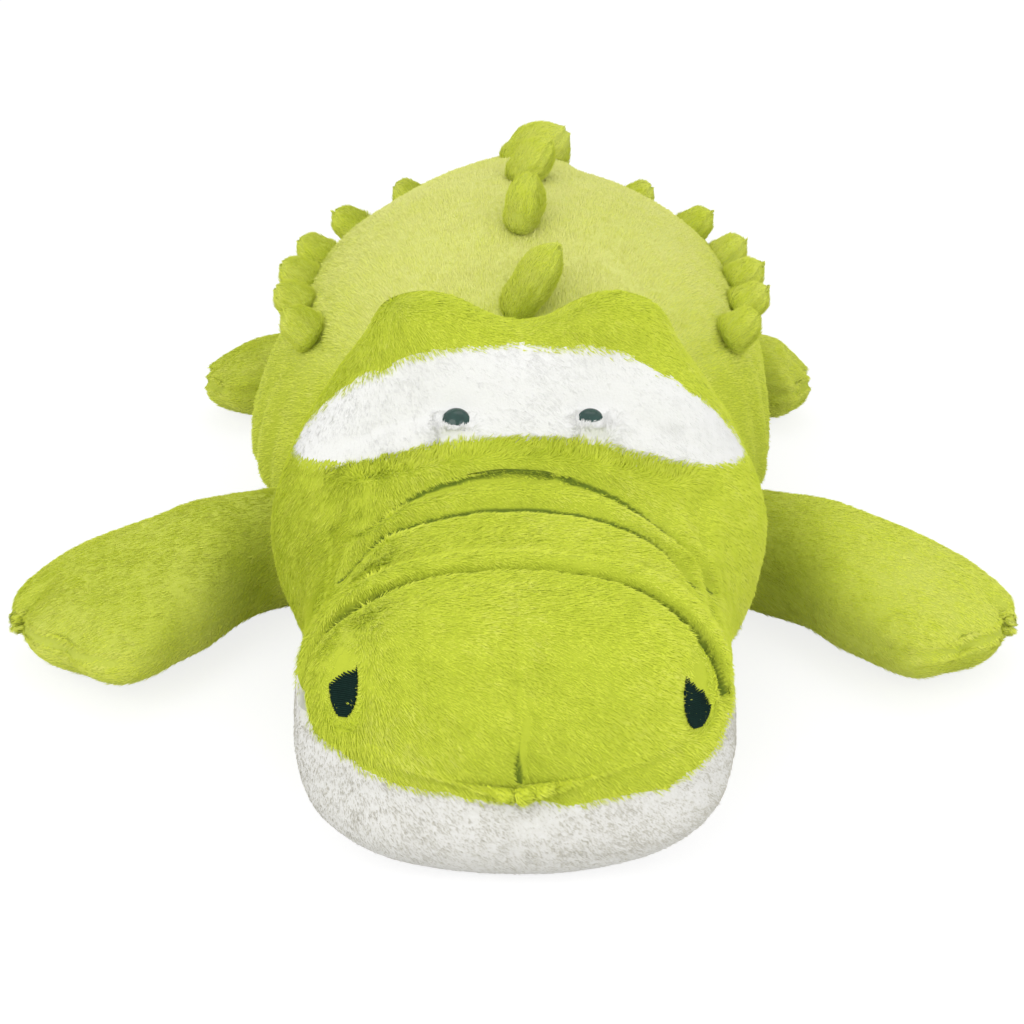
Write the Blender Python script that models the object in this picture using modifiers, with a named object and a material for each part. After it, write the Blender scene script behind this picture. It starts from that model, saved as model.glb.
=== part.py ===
"""Plush crocodile lying on its belly, modelled in metres with +Z up.

The face looks towards -Y and the tail lies towards +Y. The origin is on the floor,
under the middle of the whole toy.
"""

import math

import bmesh
import bpy
from mathutils import Matrix, Vector

# Fabric and clearances
skin_wall = 0.003
seam_gap = 0.0004
seat_gap = 0.0007
stuffing_gap = 0.0004
floor_cut = 0.0005
overrun = 0.05

# Torso
torso_front_y = -0.275
torso_length = 0.600
torso_half_width = 0.192
torso_height = 0.235
torso_front_cap = 0.095
torso_back_cap = 0.100
torso_bluntness = 2.2
side_seam_height = 0.162

# Nape: the back of the head, a ball squashed across, on which the head nods
nape_setback = 0.010
nape_radius = 0.116
nape_half_width = 0.155

# Head in front of the nape
head_length = 0.285
cheek_half_width = 0.160
muzzle_cap = 0.055
muzzle_bluntness = 2.9

# Brows
brow_spread = 0.071
brow_rise = 0.036
brow_width = 0.044
brow_length = 0.048
brow_place_share = 0.0105

# Seams of the head
lip_height = 0.062
lip_slope = 0.35
jaw_length = 0.125
# Corners of the white band, each as a share of the head's length and of the nape's radius
band_apex_shares = (0.088, 1.379)
band_front_shares = (0.188, 1.552)
band_back_shares = (0.053, 1.931)

# Eyes, at a height that is a share of the nape's radius
eye_radius = 0.010
eye_bulge = 0.0065
eye_dome_turns_deg = (30.0, 60.0, 80.0)
eye_spread = 0.042
eye_height_share = 1.647
eye_sink = 0.0008
eye_stem_radius = 0.0025
eye_stem_length = 0.014
washer_radius = 0.008
washer_thickness = 0.0016
washer_seat_share = 0.7
stem_clearance = 0.0004
surface_step = 0.002

# Nostrils, at a height that is a share of the nape's radius
nostril_spread = 0.098
nostril_height_share = 1.009
nostril_half_width = 0.0095
nostril_half_height = 0.019
nostril_thickness = 0.0015
nostril_depth = 0.012

# Front legs
front_leg_place_share = 0.138
front_leg_radius = 0.041
front_leg_length = 0.188
front_leg_turn_deg = 31.0
front_paw_half_width = 0.063
front_paw_cap = 0.055

# Hind legs
hind_leg_place_share = 0.717
hind_leg_radius = 0.036
hind_leg_length = 0.078
hind_leg_turn_deg = 3.0
hind_paw_half_width = 0.042
hind_paw_cap = 0.040
limb_bluntness = 2.3
round_bluntness = 2.0
middle_share = 0.5

# Tail
tail_root_radius = 0.078
tail_root_half_height = 0.068
tail_length = 0.225
tail_end_half_width = 0.022
tail_end_half_height = 0.020
tail_cap = 0.020

# How far a joint stands outside the torso, as a share of the limb's or the tail's root radius
limb_seat_share = 0.2
tail_seat_share = 0.5

# Spikes
spine_spike_length = 0.062
spine_spike_thickness = 0.034
spine_spike_height = 0.042
side_spike_length = 0.048
side_spike_thickness = 0.032
side_spike_height = 0.030
spike_sink_share = 0.45
spike_taper_share = 0.30
side_spike_tilt_deg = 58.0
spine_lean_deg = (32.0, 16.0, 26.0, 28.0)
spine_place_shares = (0.235, 0.400, 0.565, 0.745)
side_place_shares = (0.310, 0.400, 0.490, 0.585, 0.700, 0.820)

# Fineness of the forms
head_sides = 28
head_rings = 13
torso_sides = 20
torso_rings = 8
limb_sides = 12
limb_rings = 3
tail_sides = 12
tail_rings = 3
spike_sides = 10
spike_rings = 8
ball_sides = 40
limb_ball_sides = 24
ball_ring_share = 0.7
eye_sides = 16
cap_steps = 4
search_steps = 40
merge_distance = 0.00001
sharp_edge_deg = 40.0

# Shapes of the forms. Each row: place along, half width, height, widest level, squareness
head_shares = (
    (0.000, 0.987, 1.000, 0.500, 2.00),
    (0.100, 1.000, 0.940, 0.490, 2.05),
    (0.190, 0.965, 0.800, 0.490, 2.15),
    (0.275, 0.885, 0.710, 0.490, 2.35),
    (0.360, 0.825, 0.670, 0.500, 2.55),
    (0.450, 0.790, 0.655, 0.510, 2.60),
    (0.560, 0.785, 0.650, 0.520, 2.60),
    (0.680, 0.795, 0.672, 0.530, 2.60),
    (0.830, 0.800, 0.655, 0.520, 2.60),
    (1.000, 0.770, 0.560, 0.510, 2.50),
)
torso_shares = (
    (0.000, 0.730, 0.700, 0.320, 2.05),
    (0.150, 0.810, 0.790, 0.310, 2.05),
    (0.300, 0.975, 0.920, 0.300, 2.10),
    (0.430, 1.000, 0.990, 0.300, 2.10),
    (0.550, 0.965, 1.000, 0.300, 2.10),
    (0.680, 0.880, 0.940, 0.310, 2.10),
    (0.800, 0.755, 0.820, 0.330, 2.10),
    (0.900, 0.620, 0.690, 0.360, 2.10),
    (1.000, 0.500, 0.580, 0.380, 2.10),
)
# Place along, from the root's width to the paw's, height, squareness
limb_shares = (
    (0.00, 0.00, 1.00, 2.0),
    (0.28, 0.08, 0.98, 2.1),
    (0.52, 0.55, 0.92, 2.2),
    (0.72, 0.95, 0.88, 2.2),
    (1.00, 1.00, 0.84, 2.2),
)
# Place along, from the root's size to the end's
tail_shares = (
    (0.00, 0.00, 2.0),
    (0.30, 0.22, 2.1),
    (0.65, 0.62, 2.1),
    (1.00, 1.00, 2.1),
)

# Places along the toy and the reach of its cutting slabs, worked out from the sizes
torso_back_y = torso_front_y + torso_length
nape_y = torso_front_y + nape_setback
tail_end_y = torso_back_y + tail_length
slab_reach = torso_half_width + front_leg_length + overrun

lime = (0.560, 0.680, 0.045, 1.0)
white = (0.860, 0.870, 0.850, 1.0)
dark_green = (0.010, 0.040, 0.028, 1.0)
eye_green = (0.020, 0.060, 0.045, 1.0)
polyester = (0.880, 0.880, 0.860, 1.0)
nylon = (0.800, 0.800, 0.780, 1.0)
fabric_roughness = 0.95
gloss_roughness = 0.08


def start_collections():
    """Clears the scene and makes one collection for the toy and one for its cutters."""
    for obj in list(bpy.data.objects):
        bpy.data.objects.remove(obj)
    made = []
    for name in ("plush_crocodile", "cutters"):
        collection = bpy.data.collections.new(name)
        bpy.context.scene.collection.children.link(collection)
        made.append(collection)
    return made


def read_between(rows, place):
    """Reads a table at a place between its rows, along a smooth curve that is level at both ends."""
    place = min(max(place, rows[0][0]), rows[-1][0])
    index = 0
    while index < len(rows) - 2 and place > rows[index + 1][0]:
        index += 1
    low, high = rows[index], rows[index + 1]
    span = high[0] - low[0]
    t = (place - low[0]) / span

    def slope(at, column):
        if at == 0 or at == len(rows) - 1:
            return 0.0
        rise = rows[at + 1][column] - rows[at - 1][column]
        return rise / (rows[at + 1][0] - rows[at - 1][0])

    values = []
    for column in range(1, len(low)):
        values.append(
            (2 * t**3 - 3 * t**2 + 1) * low[column]
            + (t**3 - 2 * t**2 + t) * span * slope(index, column)
            + (3 * t**2 - 2 * t**3) * high[column]
            + (t**3 - t**2) * span * slope(index + 1, column)
        )
    return values


def frame_along(place, out, upward):
    """A frame at a place, with its Z along one direction and its Y as near another as it can be."""
    across = upward.cross(out).normalized()
    turn = Matrix((across, out.cross(across), out)).transposed().to_4x4()
    return Matrix.Translation(place) @ turn


class Form:
    """A stuffed form that swells and tapers along Y and closes in a round cap at each end.

    Each row holds a place along Y, the half width, the lowest and highest point, the
    share of the height at which the form is widest, and how square its section is.
    A cap is its length and its bluntness, which is 2 for part of a ball.
    """

    def __init__(self, rows, start, end, start_cap, end_cap, bump=None):
        self.rows = rows
        self.start = start
        self.end = end
        self.start_cap = start_cap
        self.end_cap = end_cap
        self.bump = bump

    def section(self, y):
        """Half width, lowest, widest and highest level and squareness at one place."""
        half_width, low, high, widest_share, squareness = read_between(self.rows, y)
        level = low + widest_share * (high - low)
        for inside, (cap, bluntness) in ((y - self.start, self.start_cap), (self.end - y, self.end_cap)):
            if inside < cap:
                reach = 1 - max(inside, 0) / cap
                round_off = max(1 - reach**bluntness, 0) ** (1 / bluntness)
                half_width *= round_off
                low = level - (level - low) * round_off
                high = level + (high - level) * round_off
        return half_width, low, level, high, squareness

    def half_width_at(self, y, z):
        """How far the surface stands from the middle at one place and height."""
        half_width, low, level, high, squareness = self.section(y)
        reach = (z - level) / (high - level) if z > level else (level - z) / (level - low)
        return half_width * max(1 - reach**squareness, 0) ** (1 / squareness)

    def top_at(self, y):
        return self.section(y)[3]

    def levels_at(self, x, y):
        """The lowest and the highest level of the surface at one place, its bump included."""
        half_width, low, level, high, squareness = self.section(y)
        if abs(x) >= half_width:
            return level, level
        reach = (1 - (abs(x) / half_width) ** squareness) ** (1 / squareness)
        top = level + (high - level) * reach
        if self.bump:
            top += self.bump(Vector((x, y, top)), reach)
        return level - (level - low) * reach, top

    def front_at(self, x, z):
        """Where a line along Y first meets the surface, from the start."""
        near, far = self.start, self.end - self.end_cap[0]
        for _ in range(search_steps):
            middle = (near + far) / 2
            bottom, top = self.levels_at(x, middle)
            near, far = (near, middle) if bottom < z < top else (middle, far)
        return far

    def front_frame(self, x, z, sink):
        """A frame on the front surface whose Z points straight out of it, sunk in by a little."""
        y = self.front_at(x, z)
        across = (self.front_at(x + surface_step, z) - self.front_at(x - surface_step, z)) / (2 * surface_step)
        upward = (self.front_at(x, z + surface_step) - self.front_at(x, z - surface_step)) / (2 * surface_step)
        out = Vector((across, -1, upward)).normalized()
        return frame_along(Vector((x, y, z)) - out * sink, out, Vector((0, 0, 1)))

    def places(self, middle_rings):
        """Where the rings go: close together in the caps, evenly spaced between them."""
        steps = range(1, cap_steps + 1)
        turns = [math.radians(90) * step / cap_steps for step in steps]
        first = [self.start + self.start_cap[0] * (1 - math.cos(turn)) for turn in turns]
        last = [self.end - self.end_cap[0] * (1 - math.cos(turn)) for turn in turns]
        gap = (last[-1] - first[-1]) / (middle_rings + 1)
        between = [first[-1] + gap * (count + 1) for count in range(middle_rings)]
        return first + between + last[::-1]

    def mesh(self, sides, middle_rings):
        """The form as a closed mesh: a loft through its rings with a point at each end."""
        bm = bmesh.new()
        rings = []
        for y in self.places(middle_rings):
            half_width, low, level, high, squareness = self.section(y)
            ring = []
            for side in range(sides):
                turn = math.radians(360) * side / sides
                across = math.copysign(abs(math.cos(turn)) ** (2 / squareness), math.cos(turn))
                upward = math.copysign(abs(math.sin(turn)) ** (2 / squareness), math.sin(turn))
                radius = high - level if upward > 0 else level - low
                point = Vector((half_width * across, y, level + radius * upward))
                if self.bump:
                    point.z += self.bump(point, upward)
                ring.append(bm.verts.new(point))
            rings.append(ring)
        for near, far in zip(rings, rings[1:]):
            for side in range(sides):
                after = (side + 1) % sides
                bm.faces.new((near[side], near[after], far[after], far[side]))
        for ring, y in ((rings[0], self.start), (rings[-1], self.end)):
            pole = bm.verts.new((0, y, self.section(y)[2]))
            for side in range(sides):
                bm.faces.new((ring[side], ring[(side + 1) % sides], pole))
        bmesh.ops.triangulate(bm, faces=bm.faces)
        return finished(bm)


def finished(bm):
    """Turns the faces of a closed shape outwards and hands it over as a mesh."""
    bmesh.ops.recalc_face_normals(bm, faces=bm.faces)
    if bm.calc_volume(signed=True) < 0:
        bmesh.ops.reverse_faces(bm, faces=bm.faces)
    mesh = bpy.data.meshes.new("shape")
    bm.to_mesh(mesh)
    bm.free()
    return mesh


def grown(mesh, distance):
    """A copy of a mesh with its surface moved outwards, or inwards for a negative distance."""
    bm = bmesh.new()
    bm.from_mesh(mesh)
    bm.normal_update()
    moves = [vert.normal * distance for vert in bm.verts]
    for vert, move in zip(bm.verts, moves):
        vert.co += move
    return finished(bm)


def placed(mesh, matrix):
    """A copy of a mesh, moved by a matrix."""
    copy = mesh.copy()
    copy.transform(matrix)
    return copy


def combined(first, second, operation):
    """What is left of one mesh when a second one cuts it, bounds it or joins it."""
    holder = bpy.data.objects.new("holder", first)
    tool = bpy.data.objects.new("tool", second)
    cutters.objects.link(holder)
    cutters.objects.link(tool)
    modifier = holder.modifiers.new("Boolean", "BOOLEAN")
    modifier.operation = operation
    modifier.object = tool
    modifier.solver = "EXACT"
    bpy.context.view_layer.update()
    graph = bpy.context.evaluated_depsgraph_get()
    result = bpy.data.meshes.new_from_object(holder.evaluated_get(graph), depsgraph=graph)
    bpy.data.objects.remove(holder)
    bpy.data.objects.remove(tool)
    return result


def cut(mesh, *tools):
    for tool in tools:
        mesh = combined(mesh, tool, "DIFFERENCE")
    return mesh


def kept_inside(mesh, tool):
    return combined(mesh, tool, "INTERSECT")


def largest_body(mesh):
    """Drops the offcuts that a cut leaves beside the main body."""
    bm = bmesh.new()
    bm.from_mesh(mesh)
    left = set(bm.verts)
    bodies = []
    while left:
        body = set()
        front = [left.pop()]
        while front:
            vert = front.pop()
            body.add(vert)
            for edge in vert.link_edges:
                other = edge.other_vert(vert)
                if other in left:
                    left.remove(other)
                    front.append(other)
        bodies.append(body)
    bodies.sort(key=len)
    for body in bodies[:-1]:
        bmesh.ops.delete(bm, geom=list(body), context="VERTS")
    bm.to_mesh(mesh)
    bm.free()
    return mesh


def ball(radii, centre, sides):
    """A ball, or one squashed along the axes."""
    bm = bmesh.new()
    rings = round(sides * ball_ring_share)
    bmesh.ops.create_uvsphere(bm, u_segments=sides, v_segments=rings, radius=1.0)
    bmesh.ops.scale(bm, vec=Vector(radii), verts=bm.verts)
    bmesh.ops.translate(bm, vec=Vector(centre), verts=bm.verts)
    return finished(bm)


def slab(outline):
    """A flat outline in Y and Z, drawn out across the whole toy."""
    bm = bmesh.new()
    verts = [bm.verts.new((-slab_reach, y, z)) for y, z in outline]
    face = bm.faces.new(verts)
    side = bmesh.ops.extrude_face_region(bm, geom=[face])
    moved = [item for item in side["geom"] if isinstance(item, bmesh.types.BMVert)]
    bmesh.ops.translate(bm, vec=Vector((2 * slab_reach, 0, 0)), verts=moved)
    return finished(bm)


def rod(radius, low, high, matrix, squash=1.0):
    """A round or oval rod along Z between two levels of its own frame."""
    bm = bmesh.new()
    bmesh.ops.create_cone(
        bm, cap_ends=True, segments=eye_sides, radius1=radius, radius2=radius, depth=high - low
    )
    bmesh.ops.translate(bm, vec=Vector((0, 0, (low + high) / 2)), verts=bm.verts)
    bmesh.ops.scale(bm, vec=Vector((squash, 1, 1)), verts=bm.verts)
    bm.transform(matrix)
    return finished(bm)


def turned(profile, closed, matrix):
    """A profile of radius and height turned round Z, then placed by a matrix."""
    mesh = bpy.data.meshes.new("profile")
    edges = [(index, index + 1) for index in range(len(profile) - 1)]
    if closed:
        edges.append((len(profile) - 1, 0))
    mesh.from_pydata([(radius, 0, height) for radius, height in profile], edges, [])
    obj = bpy.data.objects.new("turned", mesh)
    cutters.objects.link(obj)
    screw = obj.modifiers.new("Screw", "SCREW")
    screw.steps = eye_sides
    screw.render_steps = eye_sides
    screw.use_merge_vertices = True
    screw.merge_threshold = merge_distance
    bpy.context.view_layer.update()
    graph = bpy.context.evaluated_depsgraph_get()
    result = bpy.data.meshes.new_from_object(obj.evaluated_get(graph), depsgraph=graph)
    bpy.data.objects.remove(obj)
    bm = bmesh.new()
    bm.from_mesh(result)
    bm.transform(matrix)
    return finished(bm)


def add_part(name, mesh, colour, roughness, pivot=None):
    """Puts a finished mesh into the toy, with its own material and its origin on its joint."""
    mesh = largest_body(mesh)
    mesh.name = name
    if pivot is not None:
        mesh.transform(Matrix.Translation(-pivot))
    material = bpy.data.materials.new(name)
    material.use_nodes = True
    shader = material.node_tree.nodes["Principled BSDF"]
    shader.inputs["Base Color"].default_value = colour
    shader.inputs["Roughness"].default_value = roughness
    shader.inputs["Metallic"].default_value = 0.0
    mesh.materials.clear()
    mesh.materials.append(material)
    mesh.shade_smooth()
    mesh.set_sharp_from_angle(angle=math.radians(sharp_edge_deg))
    obj = bpy.data.objects.new(name, mesh)
    if pivot is not None:
        obj.location = pivot
    crocodile.objects.link(obj)
    return obj


def brow_bump(point, upward):
    """How far the two brow mounds lift the top of the head at a point."""
    offset = point.y - (nape_y + brow_place_share * head_length)
    if upward <= 0 or abs(offset) >= brow_length:
        return 0.0
    along = math.cos(math.radians(90) * offset / brow_length)
    across = math.exp(-(((abs(point.x) - brow_spread) / brow_width) ** 2))
    return brow_rise * along * across * upward**2


def head_form():
    """The head from the tip of the muzzle to the back of the nape."""
    height = 2 * nape_radius
    rows = []
    for share, width_share, height_share, widest_share, squareness in head_shares[::-1]:
        y = nape_y - share * head_length
        high = height * height_share - floor_cut
        rows.append((y, cheek_half_width * width_share, -floor_cut, high, widest_share, squareness))
    rows[-1] = (nape_y, nape_half_width, -floor_cut, height - floor_cut, middle_share, round_bluntness)
    return Form(
        rows,
        nape_y - head_length,
        nape_y + nape_radius,
        (muzzle_cap, muzzle_bluntness),
        (nape_radius, round_bluntness),
        brow_bump,
    )


def torso_form():
    rows = []
    for share, width_share, height_share, widest_share, squareness in torso_shares:
        y = torso_front_y + share * torso_length
        high = torso_height * height_share
        rows.append((y, torso_half_width * width_share, -floor_cut, high, widest_share, squareness))
    front_cap = (torso_front_cap, torso_bluntness)
    back_cap = (torso_back_cap, torso_bluntness)
    return Form(rows, torso_front_y, torso_back_y, front_cap, back_cap)


def limb_form(radius, length, paw_half_width, paw_cap):
    """A limb along Y from the ball at its root, which is centred on the joint, to its paw."""
    rows = []
    for share, swell_share, height_share, squareness in limb_shares:
        half_width = radius + swell_share * (paw_half_width - radius)
        high = radius * (2 * height_share - 1)
        rows.append((share * length, half_width, -radius, high, middle_share, squareness))
    return Form(rows, -radius, length, (radius, round_bluntness), (paw_cap, limb_bluntness))


def tail_form(root_y):
    """The tail from the ball at its root, which is centred on the joint, to its tip."""
    rows = []
    for share, fade_share, squareness in tail_shares:
        half_width = tail_root_radius + fade_share * (tail_end_half_width - tail_root_radius)
        half_height = tail_root_half_height + fade_share * (tail_end_half_height - tail_root_half_height)
        y = root_y + share * (tail_end_y - root_y)
        rows.append((y, half_width, -floor_cut, 2 * half_height - floor_cut, middle_share, squareness))
    root_cap = (tail_root_radius, round_bluntness)
    return Form(rows, root_y - tail_root_radius, tail_end_y, root_cap, (tail_cap, round_bluntness))


def far_point(start, through):
    """The point well beyond the toy on the line from one point through another."""
    direction = (Vector(through) - Vector(start)).normalized()
    return tuple(Vector(start) + direction * slab_reach)


def shifted(outline, across, upward):
    return [(y + across, z + upward) for y, z in outline]


def head_place(shares):
    """A place in Y and Z on the head, from its shares of the head's length and the nape's radius."""
    return nape_y - shares[0] * head_length, shares[1] * nape_radius


def head_regions():
    """The slabs that hold the crown, the eye band and the snout."""
    apex = head_place(band_apex_shares)
    front = far_point(apex, head_place(band_front_shares))
    back = far_point(apex, head_place(band_back_shares))
    below = (apex[0], -overrun)
    rear = nape_y + nape_radius + overrun
    nose = nape_y - head_length - overrun
    crown = slab(shifted([apex, below, (rear, -overrun), (rear, back[1]), back], seam_gap, 0))
    band = slab([apex, back, front])
    snout = slab(shifted([apex, front, (nose, front[1]), (nose, -overrun), below], -seam_gap, -seam_gap))
    return crown, band, snout


def jaw_region(shift):
    """The slab under the lip line, which rises towards the cheeks."""
    tip = nape_y - head_length
    nose = tip - overrun
    rear = tip + jaw_length - shift
    lip = [(nose, lip_height - overrun * lip_slope), (rear, lip_height + jaw_length * lip_slope)]
    return slab([(nose, -overrun), (rear, -overrun)] + [(y, z - shift) for y, z in lip[::-1]])


def split_level(mesh, level):
    """The upper and the lower part of a skin, with the seam's gap between them."""
    near, far = -2 * slab_reach, 2 * slab_reach
    above = slab([(near, level + seam_gap / 2), (far, level + seam_gap / 2), (far, slab_reach), (near, slab_reach)])
    below = slab([(near, level - seam_gap / 2), (far, level - seam_gap / 2), (far, -overrun), (near, -overrun)])
    return kept_inside(mesh, above), kept_inside(mesh, below)


def floor_slab():
    near, far = -2 * slab_reach, 2 * slab_reach
    return slab([(near, 0), (far, 0), (far, -overrun), (near, -overrun)])


def skin_of(outer):
    return cut(outer, grown(outer, -skin_wall))


def stuffing_of(outer):
    return grown(outer, -skin_wall - stuffing_gap)


def make_eye(side_name, side, form, pivot, band, stuffing):
    """An eye on its stem and the washer that locks it behind the band, with their seats cut."""
    frame = form.front_frame(side * eye_spread, eye_height_share * nape_radius, eye_sink)
    dome = [(0, eye_bulge)]
    for turn_deg in eye_dome_turns_deg:
        angle = math.radians(turn_deg)
        dome.append((eye_radius * math.sin(angle), eye_bulge * math.cos(angle)))
    dome += [(eye_radius, 0), (eye_stem_radius, 0), (eye_stem_radius, -eye_stem_length), (0, -eye_stem_length)]
    add_part("eye_" + side_name, turned(dome, False, frame), eye_green, gloss_roughness, pivot)

    bore = eye_stem_radius + stem_clearance
    washer_top = -skin_wall * washer_seat_share
    washer_low = washer_top - washer_thickness
    ring = [(washer_radius, washer_top), (washer_radius, washer_low), (bore, washer_low), (bore, washer_top)]
    add_part("eye_washer_" + side_name, turned(ring, True, frame), nylon, fabric_roughness, pivot)

    seat = rod(eye_radius + stem_clearance, -seam_gap, overrun, frame)
    hole = rod(bore, -eye_stem_length, overrun, frame)
    pocket = rod(
        washer_radius + stem_clearance, -eye_stem_length - stem_clearance, washer_top + seam_gap, frame
    )
    return cut(band, seat, hole, pocket), cut(stuffing, pocket)


def make_nostril(side_name, side, form, outer, pivot):
    """A pad of dark stitching that follows the muzzle."""
    frame = form.front_frame(side * nostril_spread, nostril_height_share * nape_radius, 0)
    oval = rod(
        nostril_half_height, -nostril_depth, nostril_depth, frame, nostril_half_width / nostril_half_height
    )
    pad = kept_inside(grown(outer, seam_gap + nostril_thickness), oval)
    pad = cut(pad, grown(outer, seam_gap))
    add_part("nostril_" + side_name, pad, dark_green, fabric_roughness, pivot)


def make_head(floor):
    form = head_form()
    pivot = Vector((0, nape_y, nape_radius - floor_cut))
    outer = form.mesh(head_sides, head_rings)
    skin = cut(skin_of(outer), floor)
    stuffing = stuffing_of(outer)
    crown_region, band_region, snout_region = head_regions()
    band = kept_inside(skin, band_region)
    for side_name, side in (("left", -1), ("right", 1)):
        band, stuffing = make_eye(side_name, side, form, pivot, band, stuffing)
        make_nostril(side_name, side, form, outer, pivot)
    snout = cut(kept_inside(skin, snout_region), jaw_region(0))
    add_part("crown_panel", kept_inside(skin, crown_region), lime, fabric_roughness, pivot)
    add_part("eye_band_panel", band, white, fabric_roughness, pivot)
    add_part("snout_panel", snout, lime, fabric_roughness, pivot)
    add_part("jaw_panel", kept_inside(skin, jaw_region(seam_gap)), white, fabric_roughness, pivot)
    add_part("head_stuffing", stuffing, polyester, fabric_roughness, pivot)
    return ball(
        (nape_half_width + seat_gap, nape_radius + seat_gap, nape_radius + seat_gap), pivot, ball_sides
    )


def make_limb(name, side, form, radius, turn_deg, place_share, torso, floor):
    """A limb's two skins and its stuffing, and the ball that its root needs cut into the torso."""
    height = radius - floor_cut
    y = torso_front_y + place_share * torso_length
    widest = torso.section(y)[2]
    x = torso.half_width_at(y, min(height + radius, widest)) + limb_seat_share * radius
    pivot = Vector((side * x, y, height))
    turn = math.radians(-90 - turn_deg if side > 0 else 90 + turn_deg)
    place = Matrix.Translation(pivot) @ Matrix.Rotation(turn, 4, "Z")
    outer = placed(form.mesh(limb_sides, limb_rings), place)
    top, sole = split_level(cut(skin_of(outer), floor), height)
    add_part(name + "_top", top, lime, fabric_roughness, pivot)
    add_part(name + "_sole", sole, lime, fabric_roughness, pivot)
    add_part(name + "_stuffing", stuffing_of(outer), polyester, fabric_roughness, pivot)
    return ball((radius + seat_gap,) * 3, pivot, limb_ball_sides)


def make_tail(torso, floor):
    root_y = torso_back_y + tail_seat_share * tail_root_radius
    form = tail_form(root_y)
    pivot = Vector((0, root_y, tail_root_half_height - floor_cut))
    outer = form.mesh(tail_sides, tail_rings)
    top, sole = split_level(cut(skin_of(outer), floor), pivot.z)
    add_part("tail_top", top, lime, fabric_roughness, pivot)
    add_part("tail_sole", sole, lime, fabric_roughness, pivot)
    add_part("tail_stuffing", stuffing_of(outer), polyester, fabric_roughness, pivot)
    radius = tail_root_radius + seat_gap
    return ball((radius, radius, tail_root_half_height + seat_gap), pivot, ball_sides)


def spike(length, thickness, height, place, direction):
    """A stuffed spike, wide at its foot and drawn in at its top, which stands on the torso."""
    sink = spike_sink_share * height
    bm = bmesh.new()
    bmesh.ops.create_uvsphere(bm, u_segments=spike_sides, v_segments=spike_rings, radius=1.0)
    for vert in bm.verts:
        draw_in = 1 - spike_taper_share * max(vert.co.z, 0)
        vert.co.x *= draw_in * thickness / 2
        vert.co.y *= draw_in * length / 2
        vert.co.z = vert.co.z * (height + sink) - sink
    bm.transform(frame_along(place, direction, Vector((0, 1, 0))))
    return finished(bm)


def make_spikes(form, outer):
    """The row down the middle of the back, and one row in each side seam."""
    seat = grown(outer, seam_gap)
    for count, (share, lean_deg) in enumerate(zip(spine_place_shares, spine_lean_deg), start=1):
        y = torso_front_y + share * torso_length
        lean = math.radians(lean_deg)
        place = Vector((0, y, form.top_at(y)))
        direction = Vector((math.sin(lean), 0, math.cos(lean)))
        shape = spike(spine_spike_length, spine_spike_thickness, spine_spike_height, place, direction)
        add_part("spine_spike_" + str(count), cut(shape, seat), lime, fabric_roughness)
    tilt = math.radians(side_spike_tilt_deg)
    for side_name, side in (("left", -1), ("right", 1)):
        for count, share in enumerate(side_place_shares, start=1):
            y = torso_front_y + share * torso_length
            place = Vector((side * form.half_width_at(y, side_seam_height), y, side_seam_height))
            direction = Vector((side * math.cos(tilt), 0, math.sin(tilt)))
            shape = spike(side_spike_length, side_spike_thickness, side_spike_height, place, direction)
            name = "side_spike_" + side_name + "_" + str(count)
            add_part(name, cut(shape, seat), lime, fabric_roughness)


def make_torso(form, outer, seats, floor):
    back, belly = split_level(cut(skin_of(outer), floor), side_seam_height)
    add_part("back_panel", cut(back, *seats), lime, fabric_roughness)
    add_part("belly_panel", cut(belly, *seats), lime, fabric_roughness)
    add_part("torso_stuffing", cut(stuffing_of(outer), *seats), polyester, fabric_roughness)


def main():
    floor = floor_slab()
    torso = torso_form()
    outer = torso.mesh(torso_sides, torso_rings)
    seats = [make_head(floor), make_tail(torso, floor)]
    front = limb_form(front_leg_radius, front_leg_length, front_paw_half_width, front_paw_cap)
    hind = limb_form(hind_leg_radius, hind_leg_length, hind_paw_half_width, hind_paw_cap)
    for side_name, side in (("left", -1), ("right", 1)):
        seats.append(
            make_limb(
                "front_leg_" + side_name, side, front, front_leg_radius, front_leg_turn_deg,
                front_leg_place_share, torso, floor,
            )
        )
        seats.append(
            make_limb(
                "hind_leg_" + side_name, side, hind, hind_leg_radius, hind_leg_turn_deg,
                hind_leg_place_share, torso, floor,
            )
        )
    make_torso(torso, outer, seats, floor)
    make_spikes(torso, outer)


crocodile, cutters = start_collections()
main()
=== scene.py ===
"""Looks of a plush crocodile that lies on its belly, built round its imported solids.

Metres throughout. The face looks towards -Y, +X is on the right of the picture and +Z is up.
"""

import math

import bmesh
import bpy
import numpy as np
from mathutils import Matrix, Vector, noise


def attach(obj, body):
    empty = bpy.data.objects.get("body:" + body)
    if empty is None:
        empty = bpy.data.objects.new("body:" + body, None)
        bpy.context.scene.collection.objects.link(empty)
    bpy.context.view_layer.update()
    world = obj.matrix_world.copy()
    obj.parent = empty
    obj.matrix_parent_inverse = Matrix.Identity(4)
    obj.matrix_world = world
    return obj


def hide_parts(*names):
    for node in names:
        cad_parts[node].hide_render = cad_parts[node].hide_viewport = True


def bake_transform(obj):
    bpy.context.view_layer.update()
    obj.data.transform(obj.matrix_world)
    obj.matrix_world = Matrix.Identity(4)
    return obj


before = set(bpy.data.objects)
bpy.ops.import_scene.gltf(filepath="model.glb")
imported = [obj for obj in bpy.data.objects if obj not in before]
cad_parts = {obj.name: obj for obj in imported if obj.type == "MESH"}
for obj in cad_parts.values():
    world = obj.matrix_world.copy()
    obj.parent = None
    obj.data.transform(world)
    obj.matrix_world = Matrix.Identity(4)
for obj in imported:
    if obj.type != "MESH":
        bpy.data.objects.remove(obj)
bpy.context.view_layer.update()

# Cloth and pile
pile_stand = 0.0034
pile_length = 0.0062
pile_width = 0.00085
root_depth = 0.0005
floor_level = 0.0006
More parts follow.
